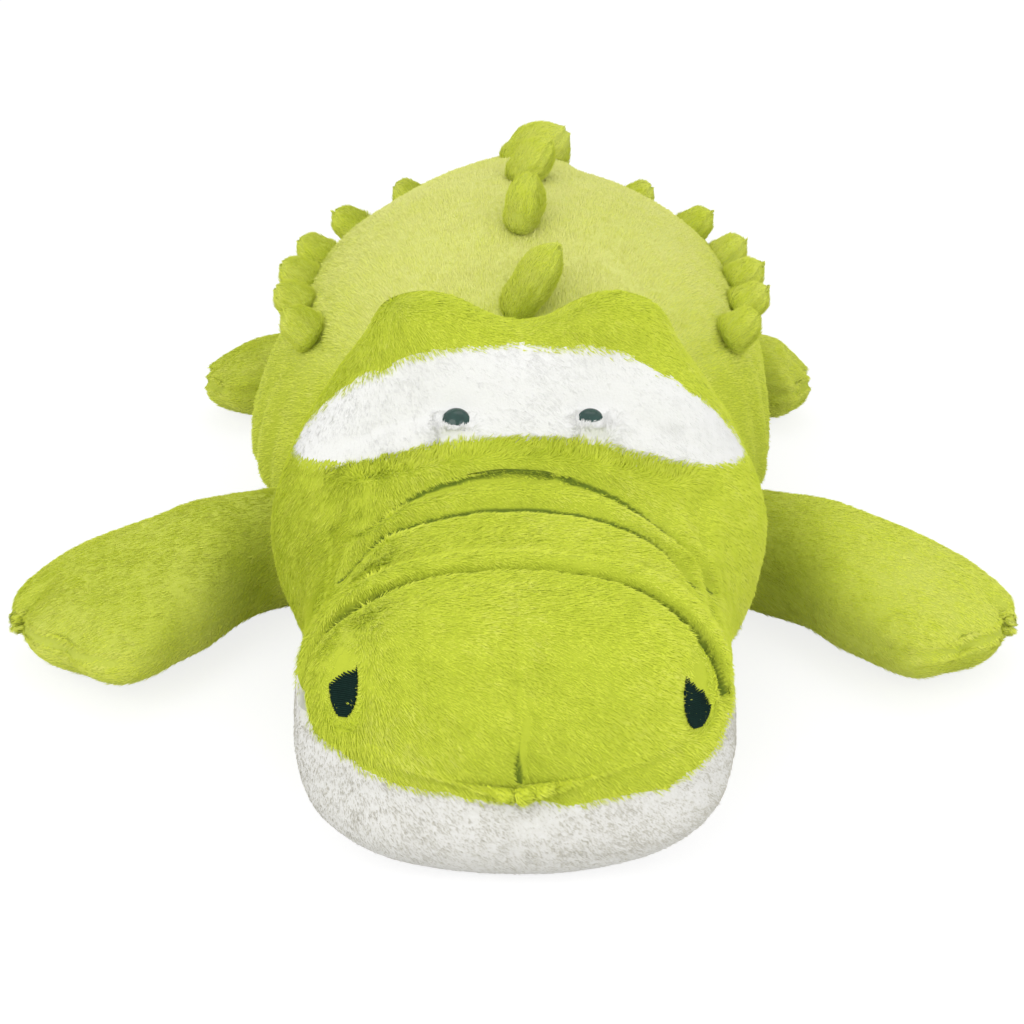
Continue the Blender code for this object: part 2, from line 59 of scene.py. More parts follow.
pole_step = 1e-8
cloth_floor = 0.0016
inside_margin = 0.007
far_off = 0.05
# How far from a seam or crease, on its two sides, the pile is painted darker as shade in the groove, and how
# far beside it the blades are shorter
seam_shade_reach = (0.0045, 0.0016)
short_reach = 0.0060
mottle_scale = 85.0

# How full of stuffing each kind of piece is
body_fill = 0.8
leg_fill = 0.75
spike_fill = 0.7

# Skins: how far apart their rings lie, and how many points each ring has
head_grid = (0.0023, 300)
torso_grid = (0.0040, 160)
leg_grid = (0.0028, 96)
tail_grid = (0.0035, 96)
spike_grid = (0.0028, 40)

# Head, as in the solids
nape_y = -0.265
nape_radius = 0.116
nape_half_width = 0.155
head_length = 0.285
cheek_half_width = 0.160
muzzle_cap = 0.055
muzzle_bluntness = 2.9
brow_spread = 0.071
brow_rise = 0.036
brow_width = 0.044
brow_length = 0.048
brow_y = -0.262
brow_outer_width = 0.052
lip_slope = 0.35
jaw_length = 0.125
crown_y = -0.290
# In front of these the face stands upright, the white band lies, and the muzzle is
face_y = -0.27
band_y = -0.268
muzzle_y = -0.45
# The face over the snout is steep: from here to there in Y the rings lie closer, by this share
steep_face = (-0.345, -0.262, 0.55)
edge_softness = 0.0020
eye_radius = 0.010
# Height of an eye's dome over its widest place, and depth below it
eye_dome = (0.0075, 0.0030)
eye_sunk = 0.0072
washer_sunk = 0.0170
# Where no pile grows: half width and half height, and how far the eye's opening lies above the eye's middle
eye_opening = (0.0096, 0.0046)
eye_opening_rise = 0.0062
nostril_opening = (0.0080, 0.0150)
# Each eye and nostril sits a little off its solid, as in the picture: its place across and its height
eye_places = (("left", -0.0400, 0.1895), ("right", 0.0470, 0.1905))
nostril_places = (("left", -0.0940, 0.1190), ("right", 0.1005, 0.1130))
# Satin stitches: how many, half of their oval's width and height, and how thick a thread lies and swells
stitch_rows = 34
stitch_oval = (0.0082, 0.0160)
stitch_top = 0.0155
thread_size = (0.00055, 0.00068)
thread_swell = 0.0007
stitch_gap = 0.003
# The washer's section: radius and height of each corner
washer_outline = ((0.0028, 0.0), (0.0028, 0.0034), (0.0042, 0.0034), (0.0046, 0.0016), (0.0082, 0.0012),
                  (0.0088, 0.0020), (0.0095, 0.0020), (0.0098, 0.0002), (0.0096, 0.0))
washer_steps = 48

# Torso, as in the solids
torso_front_y = -0.275
torso_length = 0.600
torso_half_width = 0.192
torso_height = 0.235
torso_front_cap = 0.095
torso_back_cap = 0.100
torso_bluntness = 2.2
side_seam_height = 0.162
# Soft upright folds in the flanks behind the front legs: place in Y, and depth
flank_folds = ((-0.122, 0.0035), (-0.085, 0.003), (0.085, 0.003))

# Limbs and tail, as in the solids
limb_bluntness = 2.3
front_leg = {
    "joint": (0.16108, -0.1922, 0.0405), "radius": 0.041, "length": 0.188, "turn_deg": 31.0, "paw": 0.063,
    "cap": 0.055, "spread": (0.038, 0.022), "raise": 0.012, "reach": (0.010, 0.002), "seam": 1.0,
}
hind_leg = {
    "joint": (0.16966, 0.1552, 0.0355), "radius": 0.036, "length": 0.078, "turn_deg": 3.0, "paw": 0.042,
    "cap": 0.040, "spread": (0.004, 0.004), "raise": 0.002, "reach": (0.018, -0.006), "seam": 0.0,
}
toe_grooves = (-0.04, 0.62)
tail_root_y = 0.364
tail_end_y = 0.550
tail_root_radius = 0.078
tail_root_half_height = 0.068
tail_end_half_width = 0.022
tail_end_half_height = 0.020
tail_cap = 0.020

# Spikes: length, thickness and height
spine_spike = (0.062, 0.036, 0.044)
side_spike = (0.044, 0.029, 0.026)
spine_lean_deg = (34.0, 14.0, 42.0, 50.0)
spine_height_shares = (1.15, 0.82, 0.80, 1.10)
spine_place_shares = (0.235, 0.400, 0.565, 0.745)
side_place_shares = (0.310, 0.400, 0.490, 0.585, 0.700, 0.820)
side_tilt_deg = 38.0
spine_broad_shares = (0.9, 0.9, 0.9, 1.5)
spine_foot_share = 0.88
spine_seed = 20
side_seed = 30

# Shapes as shares: place along the form, half width, height, height of the widest place, and squareness
head_shares = (
    (0.000, 0.987, 1.000, 0.500, 2.00),
    (0.100, 1.000, 0.940, 0.490, 2.05),
    (0.190, 0.965, 0.800, 0.490, 2.15),
    (0.275, 0.885, 0.710, 0.490, 2.35),
    (0.360, 0.825, 0.670, 0.500, 2.55),
    (0.450, 0.790, 0.655, 0.510, 2.60),
    (0.560, 0.785, 0.650, 0.520, 2.60),
    (0.680, 0.795, 0.672, 0.530, 2.60),
    (0.830, 0.800, 0.655, 0.520, 2.60),
    (1.000, 0.770, 0.560, 0.510, 2.50),
)
torso_shares = (
    (0.000, 0.730, 0.700, 0.320, 2.05),
    (0.150, 0.810, 0.790, 0.310, 2.05),
    (0.300, 0.975, 0.920, 0.300, 2.10),
    (0.430, 1.000, 0.990, 0.300, 2.10),
    (0.550, 0.965, 1.000, 0.300, 2.10),
    (0.680, 0.880, 0.940, 0.310, 2.10),
    (0.800, 0.755, 0.820, 0.330, 2.10),
    (0.900, 0.620, 0.690, 0.360, 2.10),
    (1.000, 0.500, 0.580, 0.380, 2.10),
)
# Place along the leg, share of the swell from the leg's radius to the paw's, height, and squareness
limb_shares = (
    (0.00, 0.00, 1.00, 2.0),
    (0.28, 0.08, 0.98, 2.1),
    (0.52, 0.55, 0.92, 2.2),
    (0.72, 0.95, 0.88, 2.2),
    (1.00, 1.00, 0.84, 2.2),
)
# Place along the tail, share of the way from the root's size to the end's, and squareness
tail_shares = (
    (0.00, 0.00, 2.0),
    (0.30, 0.22, 2.1),
    (0.65, 0.62, 2.1),
    (1.00, 1.00, 2.1),
)

# Creases across the snout: angle from the top in degrees, then the place in Y
creases = (
    ((-44, -0.366), (-22, -0.349), (0, -0.343), (19, -0.349), (35, -0.362), (55, -0.378), (72, -0.392)),
    ((-58, -0.404), (-40, -0.382), (-20, -0.369), (0, -0.3635), (22, -0.371), (38, -0.384), (58, -0.408)),
    ((-78, -0.518), (-66, -0.497), (-58, -0.482), (-48, -0.470), (-34, -0.460), (-18, -0.449), (0, -0.442),
     (18, -0.450), (34, -0.464), (48, -0.479), (59, -0.494), (72, -0.512)),
)
crease_depths = (0.0058, 0.0062, 0.0085)
# How fine the line of painted shade along each crease is
crease_shade_lines = (2.4, 2.2, 1.3)
crease_width = 0.0050
snout_radius = 0.110
# Heights of the white band's edges at places across
band_top = ((0.000, 0.2262), (0.060, 0.2255), (0.085, 0.2130), (0.103, 0.2030), (0.124, 0.1840),
            (0.140, 0.1610), (0.152, 0.1400))
band_foot = ((0.000, 0.1785), (0.035, 0.1775), (0.070, 0.1700), (0.100, 0.1615), (0.125, 0.1575),
             (0.152, 0.1560))
# Heights of the lip at the front of the muzzle at places across
lip_places = ((-0.130, 0.094), (-0.110, 0.083), (-0.090, 0.076), (-0.060, 0.067), (-0.020, 0.0610),
              (0.020, 0.0590), (0.060, 0.0615), (0.088, 0.0650), (0.105, 0.073), (0.130, 0.092))
lip_climb = 0.018
# Long folds beside the snout: place in Y, then the angle from the top in degrees
side_fold = ((-0.450, 76), (-0.400, 64), (-0.340, 50))

# Colours, as linear light
lime_tip = (0.765, 0.830, 0.095)
# The pale end is a painted highlight, used most on the top of the back
lime_pale_highlight = (0.820, 0.830, 0.285)
lime_deep = (0.640, 0.730, 0.056)
lime_root = (0.620, 0.700, 0.040)
# Painted shade for the bottoms of the green pile's creases and seams
lime_crease_shade = (0.130, 0.190, 0.008)
# The green cloth is darker than the pile: painted shade for the gaps between blades
lime_knit_shaded = (0.530, 0.610, 0.040)
lime_knit_deep_shaded = (0.430, 0.510, 0.030)
white_tip = (0.870, 0.870, 0.855)
white_warm = (0.610, 0.592, 0.515)
white_root = (0.840, 0.840, 0.820)
# Painted shade for the bottoms of the white pile's creases and seams
white_crease_shade = (0.550, 0.550, 0.500)
thread_green = (0.002, 0.012, 0.009)
eye_green = (0.010, 0.034, 0.028)
floor_grey = (0.80, 0.80, 0.80)
white = (1, 1, 1, 1)

# Studio: lamps with their place, size and power in watts, and a camera at the photograph's angle
world_light = 0.74
white_light = 1.0
floor_glow = 1.22
floor_glow_share = 0.66
floor_half_size = 6.0
lamps = (
    ("key", (-1.1, -1.9, 1.5), 1.8, 15.5),
    ("fill", (1.2, -2.0, 1.2), 1.8, 10.5),
    ("over", (0.2, 0.7, 2.4), 2.0, 7),
)
lamp_target = (0, -0.1, 0.08)
camera_place = (0.010, -1.62, 0.736)
camera_down_deg = 25
camera_turn_deg = 0.6
sensor_width = 36
picture_width = 1024
focal_length_pixels = 2300


def read_table(rows, places):
    """Reads a table at many places, along a smooth curve through its rows that is level at both ends."""
    rows = np.array(rows, float)
    known = rows[:, 0]
    places = np.clip(places, known[0], known[-1])
    at = np.clip(np.searchsorted(known, places, "right") - 1, 0, len(known) - 2)
    slopes = np.zeros_like(rows)
    slopes[1:-1] = (rows[2:] - rows[:-2]) / (known[2:] - known[:-2])[:, None]
    span = known[at + 1] - known[at]
    t = ((places - known[at]) / span)[..., None]
    span = span[..., None]
    low, high = rows[at], rows[at + 1]
    found = (
        (2 * t**3 - 3 * t**2 + 1) * low
        + (t**3 - 2 * t**2 + t) * span * slopes[at]
        + (3 * t**2 - 2 * t**3) * high
        + (t**3 - t**2) * span * slopes[at + 1]
    )
    return [found[..., column] for column in range(1, rows.shape[1])]


def smooth(low, high, value):
    """Rises from 0 to 1 between two values, level at both."""
    t = np.clip((value - low) / (high - low), 0, 1)
    return t * t * (3 - 2 * t)


def bell(distance, width):
    return np.exp(-((distance / width) ** 2))


def lumps(points, size, seed):
    """Soft random swells between about -1 and 1, of one size, at many points."""
    shift = Vector((seed * 7.3, seed * 3.1, seed * 5.7))
    return np.array([noise.noise(Vector(p) / size + shift) for p in points])


class Form:
    """A stuffed form along Y whose section swells and tapers, closed by a round cap at each end."""

    def __init__(self, rows, start, end, start_cap, end_cap):
        self.rows, self.start, self.end = rows, start, end
        self.start_cap, self.end_cap = start_cap, end_cap

    def section(self, y):
        half_width, low, high, widest_share, squareness = read_table(self.rows, y)
        level = low + widest_share * (high - low)
        for inside, (cap, bluntness) in ((y - self.start, self.start_cap), (self.end - y, self.end_cap)):
            reach = np.clip(1 - inside / cap, 0, 1)
            round_off = np.maximum(1 - reach**bluntness, 0) ** (1 / bluntness)
            half_width = half_width * round_off
            low = level - (level - low) * round_off
            high = level + (high - level) * round_off
        return half_width, low, level, high, squareness

    def points(self, y, turn):
        """Points of the surface: turn is the angle from straight up, towards +X, in radians."""
        half_width, low, level, high, squareness = self.section(y)
        across, upward = np.sin(turn), np.cos(turn)
        x = half_width * np.sign(across) * np.abs(across) ** (2 / squareness)
        reach = np.abs(upward) ** (2 / squareness)
        z = level + np.where(upward > 0, (high - level) * reach, -(level - low) * reach)
        return np.stack((x, y + 0 * x, z), -1)

    def depth(self, points):
        """About how far points lie inside the form, negative outside it."""
        y = np.clip(points[:, 1], self.start + 1e-5, self.end - 1e-5)
        half_width, low, level, high, squareness = self.section(y)
        height = np.where(points[:, 2] > level, high - level, level - low)
        share = (
            (np.abs(points[:, 0]) / half_width) ** squareness
            + (np.abs(points[:, 2] - level) / height) ** squareness
        ) ** (1 / squareness)
        inside = (1 - share) * np.minimum(half_width, height)
        beyond = np.maximum(self.start - points[:, 1], points[:, 1] - self.end)
        return np.where(beyond > 0, -1.0, inside)


def places_along(form, spacing, steep=None):
    """Places along Y for rings, even over the surface and, by a share, closer where the form is steep."""
    turn = np.linspace(0, math.pi / 2, 400)
    first_cap, first_bluntness = form.start_cap
    last_cap, last_bluntness = form.end_cap
    first = form.start + first_cap * (1 - np.cos(turn) ** (2 / first_bluntness))
    last = form.end - last_cap * (1 - np.cos(turn[::-1]) ** (2 / last_bluntness))
    y = np.unique(np.concatenate((first, np.linspace(first[-1], last[0], 800), last)))
    half_width, low, _, high, _ = form.section(y)
    swell = np.abs(np.diff(np.stack((half_width, low, high)))).max(0)
    length = np.hypot(np.diff(y), swell)
    if steep:
        low_end, high_end, share = steep
        length = np.where((y[1:] > low_end) & (y[1:] < high_end), length / share, length)
    reached = np.concatenate(([0.0], np.cumsum(length)))
    places = np.interp(np.linspace(0, reached[-1], max(int(reached[-1] / spacing), 12) + 1), reached, y)
    places[0] += pole_step
    places[-1] -= pole_step
    return places


class Skin:
    """A grid of points round a form, with what the pile needs to know at each of them."""

    def __init__(self, form, spacing, sides, steep=None):
        self.form = form
        y = places_along(form, spacing, steep)
        turn = np.linspace(0, 2 * math.pi, sides, endpoint=False) - math.pi
        self.y, self.turn = (a.copy() for a in np.meshgrid(y, turn, indexing="ij"))
        self.grid = form.points(self.y, self.turn)
        for pole in (0, -1):
            self.grid[pole] = self.grid[pole].mean(0)
        self.shape = self.y.shape
        self.seam = np.full(self.shape, far_off)
        self.tone = np.full(self.shape, 0.5)
        self.pile = np.ones(self.shape)
        self.cover = np.ones(self.shape)
        self.comb = np.zeros(self.shape + (3,))

    def normals(self):
        along = np.gradient(self.grid, axis=0)
        round_it = (np.roll(self.grid, -1, 1) - np.roll(self.grid, 1, 1)) / 2
        out = np.cross(round_it, along)
        length = np.linalg.norm(out, axis=-1, keepdims=True)
        out = out / np.maximum(length, 1e-12)
        out[0] = (0, -1, 0)
        out[-1] = (0, 1, 0)
        return out

    def push(self, distance):
        """Moves the surface outwards by a distance at each point."""
        self.grid = self.grid + self.normals() * distance[..., None]

    def near_seam(self, distance):
        """Notes the signed distance to a seam or crease where it is the nearest one so far; near it the pile
        is painted darker as shade and grows shorter.
        """
        closer = np.abs(distance) < np.abs(self.seam)
        self.seam = np.where(closer, distance, self.seam)

    def crease(self, distance, depth, width, strength=1.0, line=1.0):
        """Draws the surface in along a groove and swells its sides; a higher line makes a finer line of
        painted shade along the groove.
        """
        groove = -depth * np.exp(-np.abs(distance) / width)
        shoulder = 0.35 * depth * bell(np.abs(distance) - 2.2 * width, 1.2 * width)
        self.push((groove + shoulder) * strength)
        if line:
            near = np.broadcast_to(strength, distance.shape) > 0.35
            self.near_seam(np.where(near, distance * line, far_off))

    def settle(self):
        """Lowers the surface by the stand of its pile and flattens it on the floor."""
        self.push(np.full(self.shape, -pile_stand))
        self.grid[..., 2] = np.maximum(self.grid[..., 2], cloth_floor)

    def nearest(self, place):
        """The point of the surface nearest to a place, and the direction out of it."""
        at = np.argmin(((self.flat("grid") - place) ** 2).sum(1))
        return Vector(self.flat("grid")[at]), Vector(self.normals().reshape(-1, 3)[at])

    def place(self, matrix):
        """Turns and moves the skin and its combing."""
        turn = np.array(matrix.to_3x3())
        self.grid = self.grid @ turn.T + np.array(matrix.translation)
        self.comb = self.comb @ turn.T

    def flat(self, name):
        value = getattr(self, name)
        return value.reshape(-1, 3) if value.ndim == 3 else value.ravel()

    def mesh(self, name, chosen=None, **notes):
        """The skin, or its chosen faces, as a mesh with its notes, or those given, as attributes."""
        rings, sides = self.shape
        ring, side = (a.ravel() for a in np.meshgrid(np.arange(rings - 1), np.arange(sides), indexing="ij"))
        after = (side + 1) % sides
        faces = np.stack((ring * sides + side, ring * sides + after, (ring + 1) * sides + after,
                          (ring + 1) * sides + side), -1)
        if chosen is not None:
            faces = faces[chosen.ravel()[faces[:, 0]]]
        used, index = np.unique(faces, return_inverse=True)
        faces = index.reshape(faces.shape)
        mesh = bpy.data.meshes.new(name)
        mesh.from_pydata(self.flat("grid")[used].tolist(), [], faces.tolist())
        for note in ("seam", "tone", "pile", "cover"):
            value = np.broadcast_to(notes.get(note, getattr(self, note)), self.shape)
            value = value.ravel()[used].astype(np.float32)
            mesh.attributes.new(note, "FLOAT", "POINT").data.foreach_set("value", value)
        comb = self.flat("comb")[used].astype(np.float32).ravel()
        mesh.attributes.new("comb", "FLOAT_VECTOR", "POINT").data.foreach_set("vector", comb)
        bm = bmesh.new()
        bm.from_mesh(mesh)
        bmesh.ops.remove_doubles(bm, verts=bm.verts, dist=pole_step)
        bm.to_mesh(mesh)
        bm.free()
        mesh.shade_smooth()
        return mesh


class Wire:
    """A node's output, on which sums are written as on numbers."""

    def __init__(self, tree, socket):
        self.tree, self.socket = tree, socket

    def node(self, kind, settings, values, output=0):
        return add_node(self.tree, kind, settings, values, output)

    def maths(self, operation, *values):
        return self.node("ShaderNodeMath", {"operation": operation}, dict(enumerate(values)))

    def __add__(self, other):
        return self.maths("ADD", self, other)

    def __sub__(self, other):
        return self.maths("SUBTRACT", self, other)

    def __rsub__(self, other):
        return self.maths("SUBTRACT", other, self)

    def __mul__(self, other):
        return self.maths("MULTIPLY", self, other)

    def __truediv__(self, other):
        return self.maths("DIVIDE", self, other)

    def __pow__(self, other):
        return self.maths("POWER", self, other)

    __radd__, __rmul__ = __add__, __mul__


def add_node(tree, kind, settings, values, output=0):
    """Adds a node with its settings and the values or links of its sockets, and gives back one output."""
    node = tree.nodes.new(kind)
    for name, value in settings.items():
        setattr(node, name, value)
    for name, value in values.items():
        if isinstance(value, Wire):
            tree.links.new(value.socket, node.inputs[name])
        elif value is not None:
            node.inputs[name].default_value = value
    return Wire(tree, node.outputs[output])


def vector_maths(tree, operation, *values):
    sockets = (0, "Scale") if operation == "SCALE" else (0, 1)
    return add_node(tree, "ShaderNodeVectorMath", {"operation": operation}, dict(zip(sockets, values)))


class PileNodes:
    """The nodes that set short blades of pile all over a skin, combed as its notes say."""

    inputs = (
        ("Blades per Area", "Float", 6e5), ("Length", "Float", pile_length), ("Width", "Float", pile_width),
        ("Lift", "Float", 0.8), ("Stray", "Float", 0.5), ("Clump", "Float", 0.009), ("Seed", "Int", 1),
        ("Material", "Material", None),
    )

    def __init__(self):
        self.tree = bpy.data.node_groups.new("pile", "GeometryNodeTree")
        face = self.tree.interface
        face.new_socket("Skin", in_out="INPUT", socket_type="NodeSocketGeometry")
        for name, kind, value in self.inputs:
            socket = face.new_socket(name, in_out="INPUT", socket_type="NodeSocket" + kind)
            if value is not None:
                socket.default_value = value
        face.new_socket("Pile", in_out="OUTPUT", socket_type="NodeSocketGeometry")
        group = self.tree.nodes.new("NodeGroupInput")
        self.given = {socket.name: Wire(self.tree, socket) for socket in group.outputs if socket.name}
        points, normal = self.scattered()
        blades = self.add("GeometryNodeInstanceOnPoints", {}, {
            "Points": points, "Instance": self.blade(), "Rotation": self.aim(normal), "Scale": self.size()})
        blades = self.kept_above_floor(self.add("GeometryNodeRealizeInstances", {}, {"Geometry": blades}))
        blades = self.add("GeometryNodeSetMaterial", {}, {
            "Geometry": self.shaded_as_skin(blades), "Material": self.given["Material"]})
        out = self.tree.nodes.new("NodeGroupOutput")
        self.tree.links.new(blades.socket, out.inputs[0])

    def add(self, kind, settings, values, output=0):
        return add_node(self.tree, kind, settings, values, output)

    def vector(self, operation, *values):
        return vector_maths(self.tree, operation, *values)

    def note(self, name, kind="FLOAT"):
        return self.add("GeometryNodeInputNamedAttribute", {"data_type": kind}, {"Name": name})

    def store(self, geometry, name, value, kind="FLOAT", domain="POINT"):
        return self.add("GeometryNodeStoreNamedAttribute", {"data_type": kind, "domain": domain},
                        {"Geometry": geometry, "Name": name, "Value": value})

    def random(self, low, high, step=0, kind="FLOAT"):
        """A random number, or a random vector, that differs with each step from the seed."""
        first, output = (0, 0) if kind == "FLOAT_VECTOR" else (2, 1)
        seed = self.given["Seed"] + step if step else self.given["Seed"]
        return self.add("FunctionNodeRandomValue", {"data_type": kind},
                        {first: low, first + 1: high, "Seed": seed}, output)

    def position(self):
        """The place of each point, as one vector and as its three parts."""
        place = self.add("GeometryNodeInputPosition", {}, {})
        parts = self.tree.nodes.new("ShaderNodeSeparateXYZ")
        self.tree.links.new(place.socket, parts.inputs[0])
        return place, [Wire(self.tree, output) for output in parts.outputs]

    def waves(self, size, shift):
        """Smooth random pushes that change over about one size."""
        place = self.vector("ADD", self.position()[0], (shift, 2 * shift, 0.0))
        scale = size ** -1.0 if isinstance(size, Wire) else 1 / size
        colour = self.add("ShaderNodeTexNoise", {}, {"Vector": place, "Scale": scale, "Detail": 1.0}, 1)
        return self.vector("SUBTRACT", colour, (0.5, 0.5, 0.5))

    def fading(self, amount):
        return self.add("ShaderNodeMath", {"operation": "EXPONENT"}, {0: amount * -1.0})

    def scattered(self):
        """Points over the skin, a little under its surface, each with its shade and the skin's direction."""
        spread = self.tree.nodes.new("GeometryNodeDistributePointsOnFaces")
        self.tree.links.new(self.given["Skin"].socket, spread.inputs["Mesh"])
        density = self.note("cover") * self.given["Blades per Area"]
        self.tree.links.new(density.socket, spread.inputs["Density"])
        self.tree.links.new(self.given["Seed"].socket, spread.inputs["Seed"])
        points, normal = Wire(self.tree, spread.outputs["Points"]), Wire(self.tree, spread.outputs["Normal"])
        points = self.store(points, "shade", self.shade())
        points = self.store(points, "skin_normal", normal, "FLOAT_VECTOR")
        sunk = self.vector("SCALE", normal, -root_depth)
        return self.add("GeometryNodeSetPosition", {}, {"Geometry": points, "Offset": sunk}), normal

    def shade(self):
        """From 0, pale, to 1, as dark as the painted shade in a fold: the skin's tone, mottled, with painted
        shade added near seams and creases.
        """
        seam = self.note("seam")
        above, below = seam.maths("MAXIMUM", seam, 0.0), seam.maths("MINIMUM", seam, 0.0)
        apart = (above / seam_shade_reach[0]) ** 2.0 + (below / seam_shade_reach[1]) ** 2.0
        mottle = self.add("ShaderNodeTexNoise", {}, {"Scale": mottle_scale, "Detail": 2.0}, 0)
        tone = self.note("tone") + self.random(-0.08, 0.08) + (mottle - 0.36) * 0.36
        # Painted shade: close to a seam or crease the pile darkens towards the fold colour
        tone = tone.maths("MINIMUM", tone, 0.78) + self.fading(apart) * 0.5
        return tone.maths("MINIMUM", tone.maths("MAXIMUM", tone, 0.02), 0.98)

    def aim(self, normal):
        """The comb, lifted off the skin and led astray in clumps and singly, with the blades facing out."""
        stray = self.given["Stray"]
        lift = self.given["Lift"] * self.random(0.6, 1.4, 1)
        heading = self.vector("ADD", self.note("comb", "FLOAT_VECTOR"), self.vector("SCALE", normal, lift))
        clump = self.given["Clump"]
        for wave, amount in ((self.waves(clump, 0.3), 1.5), (self.waves(clump * 0.42, 0.7), 1.5),
                             (self.waves(0.045, 1.1), 1.3)):
            heading = self.vector("ADD", heading, self.vector("SCALE", wave, stray * amount))
        loose = self.random((-1, -1, -1), (1, 1, 1), 2, "FLOAT_VECTOR")
        heading = self.vector("ADD", heading, self.vector("SCALE", loose, stray * 0.35))
        aim = self.add("FunctionNodeAlignRotationToVector", {"axis": "Z"}, {"Vector": heading})
        tilt = self.random((-0.25, -0.25, -0.25), (0.25, 0.25, 0.25), 3, "FLOAT_VECTOR")
        return self.add("FunctionNodeAlignRotationToVector", {"axis": "Y", "pivot_axis": "Z"},
                        {"Rotation": aim, "Vector": self.vector("ADD", normal, tilt)})

    def size(self):
        beside = self.fading((self.note("seam") / short_reach) ** 2.0)
        length = self.given["Length"] * self.note("pile") * self.random(0.65, 1.2, 4) * (1 - beside * 0.5)
        width = self.given["Width"] * self.random(0.7, 1.3, 5)
        return self.add("ShaderNodeCombineXYZ", {}, {0: width, 1: length, 2: length})

    def blade(self):
        """One blade: a narrow card of two triangles, curled, that runs to a point on its right."""
        card = self.add("GeometryNodeMeshGrid", {}, {
            "Size X": 1.0, "Size Y": 1.0, "Vertices X": 2, "Vertices Y": 2})
        across, up, _ = self.position()[1]
        upper = up + 0.5
        right = across + 0.5
        along = upper * (0.5 + right * 0.5)
        shape = self.add("ShaderNodeCombineXYZ", {}, {
            0: (1 - upper) * across * -1.0 + upper * (1 - right) * 0.34,
            1: upper * (right * 0.11 + 0.02) * -1.0,
            2: along})
        card = self.store(self.store(card, "along", along), "side", right)
        return self.add("GeometryNodeSetPosition", {}, {"Geometry": card, "Position": shape})

    def kept_above_floor(self, blades):
        across, along, up = self.position()[1]
        height = up.maths("MAXIMUM", up, floor_level)
        kept = self.add("ShaderNodeCombineXYZ", {}, {0: across, 1: along, 2: height})
        return self.add("GeometryNodeSetPosition", {}, {"Geometry": blades, "Position": kept})

    def shaded_as_skin(self, blades):
        """Blades catch the light much as the skin under them does, and their map holds shade and height."""
        own = self.add("GeometryNodeInputNormal", {}, {})
        skin = self.vector("SCALE", self.note("skin_normal", "FLOAT_VECTOR"), 3.0)
        shown = self.vector("NORMALIZE", self.vector("ADD", skin, own))
        blades = self.add("GeometryNodeSetMeshNormal", {"mode": "FREE", "domain": "POINT"},
                          {"Mesh": blades, "Custom Normal": shown})
        spot = self.add("ShaderNodeCombineXYZ", {}, {
            0: self.note("shade") * 0.97 + self.note("side") * 0.02,
            1: self.note("along") * 0.98 + 0.01})
        return self.store(blades, "OFBake", spot, "FLOAT2", "CORNER")


def new_material(name):
    material = bpy.data.materials.new(name)
    material.use_nodes = True
    return material, material.node_tree, material.node_tree.nodes["Principled BSDF"]


def mix_colour(tree, factor, first, second):
    values = {"Factor": factor}
    for name, value in (("A", first), ("B", second)):
        values[6 if name == "A" else 7] = value if isinstance(value, Wire) else (*value, 1.0)
    return add_node(tree, "ShaderNodeMix", {"data_type": "RGBA"}, values, 2)


def step_up(tree, value, low, high, **settings):
    """From 0 to 1 as a value goes from low to high."""
    return add_node(tree, "ShaderNodeMapRange", settings, {0: value, 1: low, 2: high})


def set_constants(shader, **constants):
    for name, value in constants.items():
        shader.inputs[name.replace("_", " ")].default_value = value


def pile_material(name, pale_highlight, tip, deep, fold, root, sheen):
    """Pile whose colour runs from its root to its tip and from pale to deep across its own map: the pale end
    is a painted highlight, and past deep comes the painted shade of a fold.
    """
    material, tree, shader = new_material(name)
    chart = add_node(tree, "ShaderNodeUVMap", {"uv_map": "OFBake"}, {})
    parts = tree.nodes.new("ShaderNodeSeparateXYZ")
    tree.links.new(chart.socket, parts.inputs[0])
    shade, along = Wire(tree, parts.outputs[0]), Wire(tree, parts.outputs[1])
    ends = mix_colour(tree, step_up(tree, shade, 0.05, 0.5), pale_highlight, tip)
    ends = mix_colour(tree, step_up(tree, shade, 0.45, 0.72), ends, deep)
    # Close to a seam or crease the blades take the fold colour, a painted shade
    ends = mix_colour(tree, step_up(tree, shade, 0.80, 1.0), ends, fold)
    foot = mix_colour(tree, step_up(tree, shade, 0.05, 0.45), pale_highlight, root)
    body = mix_colour(tree, step_up(tree, along, 0.0, 0.62, interpolation_type="SMOOTHSTEP"), foot, ends)
    tree.links.new(body.socket, shader.inputs["Base Color"])
    set_constants(shader, Roughness=0.75, Specular_IOR_Level=0.25, Sheen_Weight=sheen, Sheen_Roughness=0.5)
    return material


